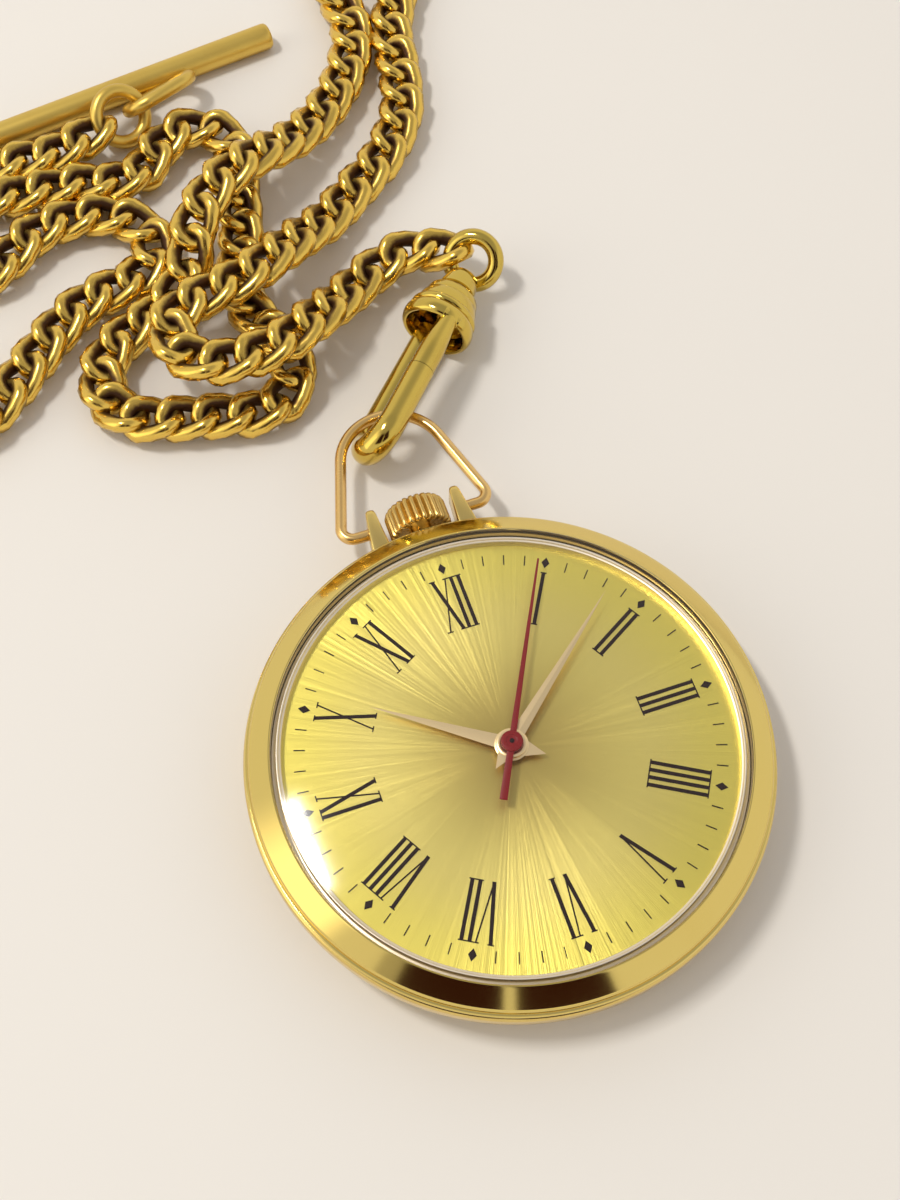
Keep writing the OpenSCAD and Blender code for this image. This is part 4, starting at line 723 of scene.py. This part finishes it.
tensionRows = [
    (17.93, 6.0), (18.7, 6.0), (18.7, 6.07), (18.68, 6.09), (18.38, 6.09), (18.33, 6.12), (18.33, 6.74),
    (18.3, 6.79), (18.24, 6.8), (18.17, 6.78), (18.13, 6.72), (18.1, 6.66), (18.02, 6.65), (17.96, 6.62),
    (17.93, 6.55),
]
tensionPiece = turned("tensionRing", tensionRows, case["steps"], closed=True)
settle(tensionPiece, "case", ringPale, "case_gold", "tension_ring")
print("case made")

# Crown: rounded ridges all round, with narrow valleys.
crown = {
    "ridges": 26, "perRidge": 8, "start": 21.6, "axisZ": 3.45, "ridgeFrom": 2.2,
    "valleys": ((0.88, (4,)), (0.92, (3, 5)), (0.975, (2, 6))),  # share of the radius, steps within a ridge
}
crownRows = [
    (1.2, 0.12), (2.2, 0.1), (2.5, 0.0), (2.62, 0.06), (2.7, 0.22), (2.7, 0.6), (2.7, 1.4), (2.7, 2.1),
    (2.64, 2.32), (2.5, 2.5), (2.25, 2.62), (1.8, 2.7), (1.0, 2.72), (0.1, 2.72),
]
crownSteps = crown["ridges"] * crown["perRidge"]
crownPiece = turned("crownKnob", crownRows, crownSteps, angle=50)


def inValley(co, offsets):
    step = round(math.atan2(co.y, co.x) / math.tau * crownSteps)
    return math.hypot(co.x, co.y) > crown["ridgeFrom"] and step % crown["perRidge"] in offsets


for share, offsets in crown["valleys"]:
    pickVertices(crownPiece, lambda co: inValley(co, offsets))
    bpy.ops.transform.resize(value=(share, share, 1), center_override=(0, 0, 0))
tidyMesh(crownPiece, 60)
setPlace(crownPiece, placed((0, crown["start"], crown["axisZ"]), roll=-90))
settle(crownPiece, "crown", crownGold, "case_gold", "crown")

# Bow: thin wire, feet turned in to the posts.
bow = {
    "pivot": 22.9, "axisZ": 3.45, "wire": 0.5, "arch": 4.7, "archY": 6.3, "lean": 17, "corner": 1.0,
    "cornerX": 5.487, "stub": 3.25,
}
bowHalf = [(bow["stub"], 0, 0), (4.2, 0, 0), (5.0, 0, 0)]
bowHalf += arc((bow["cornerX"], bow["corner"]), bow["corner"], -90, bow["lean"], 12)
bowArch = arc((0, bow["archY"]), bow["arch"], bow["lean"], 90, 24)
bowHalf += [between(bowHalf[-1], bowArch[0], k / 5) for k in range(1, 5)] + bowArch
bowLine = bowHalf + [(-x, y, z) for x, y, z in reversed(bowHalf[:-1])]
bowPiece = setPlace(wired("bowWire", bowLine, bow["wire"]), placed((0, bow["pivot"], bow["axisZ"])))
settle(bowPiece, "bow", bowGold, "case_gold", "bow")
print("crown and bow made")

# Hands: ridged blades with a ring at the middle; the seconds hand is a flat taper.
handShape = {"thick": 0.16, "ridge": 0.05, "tailWidth": 1.8, "steps": 48}
hourHand = {"length": 11.6, "tail": 2.8, "halfWidth": 0.62, "eye": 1.35, "z": 6.6, "spin": 145.2}
minuteHand = {"length": 15.6, "tail": 2.5, "halfWidth": 0.56, "eye": 1.2, "z": 6.95, "spin": 40.2}


def blade(name, length, halfWidth, turn):
    clearSelection()
    bpy.ops.mesh.primitive_cone_add(vertices=4, radius1=1, radius2=0, depth=1, location=(0, 0, 0.5))
    piece = bpy.context.object
    piece.name = piece.data.name = name
    bpy.ops.object.transform_apply(location=True, rotation=True, scale=True)
    bpy.ops.object.mode_set(mode="EDIT")
    bpy.ops.mesh.select_all(action="SELECT")
    size = (handShape["ridge"] * mm, halfWidth * mm, length * mm)
    bpy.ops.transform.resize(value=size, center_override=(0, 0, 0))
    bpy.ops.object.mode_set(mode="OBJECT")
    return tidyMesh(setPlace(piece, alongX(placed((0, 0, 0), turn))), 10)


def dauphine(name, hand, body, node):
    main = blade(name + "Blade", hand["length"], hand["halfWidth"], 0)
    short = blade(name + "Tail", hand["tail"], hand["halfWidth"] * handShape["tailWidth"], 180)
    half, eyeR = handShape["thick"] / 2, hand["eye"]
    rows = [
        (0.5, -half), (eyeR - 0.08, -half), (eyeR, 0.05 - half), (eyeR, half - 0.04),
        (eyeR - 0.07, half), (0.95, half), (0.85, half - 0.03), (0.5, half - 0.03),
    ]
    middle = turned(name + "Eye", rows, handShape["steps"], closed=True)
    piece = joinPieces(name, main, short, middle)
    setPlace(piece, placed((0, 0, hand["z"] + half), hand["spin"]))
    settle(piece, body, handGold, "hand_gold", node)


dauphine("hourHand", hourHand, "hour", "hour_hand")
dauphine("minuteHand", minuteHand, "centre", "minute_hand")

secondHand = {
    "tip": 16.2, "tail": 4.8, "width": 0.3, "thick": 0.1, "tipWidth": 0.55, "tailWidth": 2.1, "bevel": 0.03,
    "z": 7.3, "spin": 62.2, "steps": 48,
}
tipX, tailX = secondHand["tip"], -secondHand["tail"]
clearSelection()
bpy.ops.mesh.primitive_cube_add(size=1)
sweep = bpy.context.object
bpy.ops.object.mode_set(mode="EDIT")
bpy.ops.mesh.select_all(action="SELECT")
bpy.ops.transform.resize(value=((tipX - tailX) * mm, secondHand["width"] * mm, secondHand["thick"] * mm))
bpy.ops.transform.translate(value=((tipX + tailX) / 2 * mm, 0, secondHand["thick"] / 2 * mm))
pickVertices(sweep, lambda co: co.x > 0)
bpy.ops.transform.resize(value=(1, secondHand["tipWidth"], 1), center_override=(tipX * mm, 0, 0))
pickVertices(sweep, lambda co: co.x < 0)
bpy.ops.transform.resize(value=(1, secondHand["tailWidth"], 1), center_override=(tailX * mm, 0, 0))
bpy.ops.object.mode_set(mode="OBJECT")
bevelled(sweep, secondHand["bevel"], 2)
hubRows = [
    (0.1, 0.0), (0.8, 0.0), (0.87, 0.06), (0.87, 0.2), (0.82, 0.27), (0.7, 0.3), (0.5, 0.3), (0.46, 0.26),
    (0.4, 0.24), (0.1, 0.24),
]
hub = turned("secondHub", hubRows, secondHand["steps"])
secondPiece = joinPieces("secondHand", sweep, hub)
setPlace(secondPiece, placed((0, 0, secondHand["z"]), secondHand["spin"]))
settle(secondPiece, "seconds", redLacquer, "hand_red", "second_hand")
pinRows = [(0.05, 0.1), (0.19, 0.1), (0.19, 0.27), (0.15, 0.3), (0.05, 0.31)]
pinPiece = setPlace(turned("secondPin", pinRows, 24), placed((0, 0, secondHand["z"])))
settle(pinPiece, "seconds", inkBrown, "steel")
print("hands made")

# Kept pieces of the frame get their finishes, brass where none is named.
kept = {
    dialGold: ["dial"],
    inkBrown: ["dial_print"],
    caseGold: ["pendant_tube", "case_screws"],
    rubber: ["back_seal", "crown_seal"],
    steel: [
        "winding_stem", "winding_pinion", "sliding_pinion", "setting_lever", "yoke", "barrel_arbor",
        "balance_staff", "cannon_pinion", "pallet_fork", "ratchet_wheel", "crown_wheel", "click", "regulator",
    ],
    springSteel: ["click_spring", "mainspring"],
    bluedSteel: ["bridge_screws", "hairspring"],
    ruby: ["jewels", "pallet_stones"],
}
finishOf = {name: finish for finish, names in kept.items() for name in names}
for name, piece in nodes.items():
    if name in covered:
        continue
    finish = finishOf.get(name, brass)
    if piece.material_slots:
        for slot in piece.material_slots:
            slot.material = finish
    else:
        piece.data.materials.append(finish)
print("kept pieces dressed", len(nodes) - len(covered))

# Floor and lamp.
table = {
    "size": 4000, "below": 0.02, "bright": (0.83, 0.795, 0.74), "dull": (0.81, 0.775, 0.725), "rough": 0.75,
    "cloudSize": 40,
}
clearSelection()
bpy.ops.mesh.primitive_plane_add(size=table["size"] * mm, location=(0, 0, -table["below"] * mm))
floor = bpy.context.object
floor.name = "floor"
floorFinish = matte("floor_pale", table["bright"], table["dull"], table["rough"], table["cloudSize"])
floor.data.materials.append(floorFinish)

keyLight = {
    "toward": (-0.378, 0.232, 0.895), "distance": 600, "sizeX": 50, "sizeY": 138, "power": 1.5,
    "colour": (1.0, 0.97, 0.92),
}
toward = Vector(keyLight["toward"]).normalized()
across = Vector((1, 0, 0))
across = (across - toward * across.dot(toward)).normalized()
lampPlace = Matrix((across, toward.cross(across), toward)).transposed().to_4x4()
lampPlace.translation = toward * keyLight["distance"] * mm
clearSelection()
bpy.ops.object.light_add(type="AREA")
lamp = bpy.context.object
lamp.name = "keyLight"
lamp.matrix_world = lampPlace
lamp.data.shape = "RECTANGLE"
lamp.data.size = keyLight["sizeX"] * mm
lamp.data.size_y = keyLight["sizeY"] * mm
lamp.data.energy = keyLight["power"]
lamp.data.color = keyLight["colour"]

# The room around: pale sides, a bright patch at the left, a greyer ceiling, dark shapes in front.
room = {
    "side": (0.86, 0.83, 0.78), "patch": (1.9, 1.8, 1.6), "ceiling": (0.46, 0.455, 0.48),
    "dark": (0.035, 0.010, 0.008), "seen": (0.80, 0.78, 0.78),
    "ceilingFrom": 0.58, "ceilingTo": 0.92,
    "patchFront": (-0.28, -0.14), "patchBack": (0.45, 0.12), "patchLeft": (-0.2, -0.4),
    "turnBlur": 0.4, "bottomBlur": 0.03, "topBlur": 0.05,
    "shades": (  # turn from and to, height from and to, how dark
        (-142, -109.3, 0.40, 0.85, 1.0),
        (-105.5, -76, 0.40, 0.85, 1.0),
        (-149, -142, 0.40, 0.78, 0.45),
    ),
}


def roomLight():
    light = Finish("room", world=True)
    way = light.node("ShaderNodeTexCoord", out="Generated")
    x, y, z = (light.node("ShaderNodeSeparateXYZ", {}, {0: way}, k) for k in range(3))
    turn = light.node("ShaderNodeMath", {"operation": "ARCTAN2"}, {0: y, 1: x})
    turnBlur, bottomBlur, topBlur = room["turnBlur"], room["bottomBlur"], room["topBlur"]
    shade = 0.0
    for start, end, bottom, top, dark in room["shades"]:
        wide = light.ramp(turn, math.radians(start - turnBlur), math.radians(start + turnBlur))
        wide = wide * light.ramp(turn, math.radians(end + turnBlur), math.radians(end - turnBlur))
        tall = light.ramp(z, bottom - bottomBlur, bottom + bottomBlur)
        tall = tall * light.ramp(z, top + topBlur, top - topBlur)
        shade = shade + dark * wide * tall
    patch = light.ramp(y, *room["patchFront"]) * light.ramp(y, *room["patchBack"])
    walls = light.blend(patch * light.ramp(x, *room["patchLeft"]), room["side"], room["patch"])
    sky = light.blend(light.ramp(z, room["ceilingFrom"], room["ceilingTo"]), walls, room["ceiling"])
    mirrored = light.blend(shade, sky, room["dark"])
    direct = light.node("ShaderNodeLightPath", out="Is Camera Ray")
    colour = light.blend(direct, mirrored, room["seen"])
    background = light.node("ShaderNodeBackground", {}, {"Color": colour, "Strength": 1.0})
    scene.world = light.end("ShaderNodeOutputWorld", background)


roomLight()
print("light made")
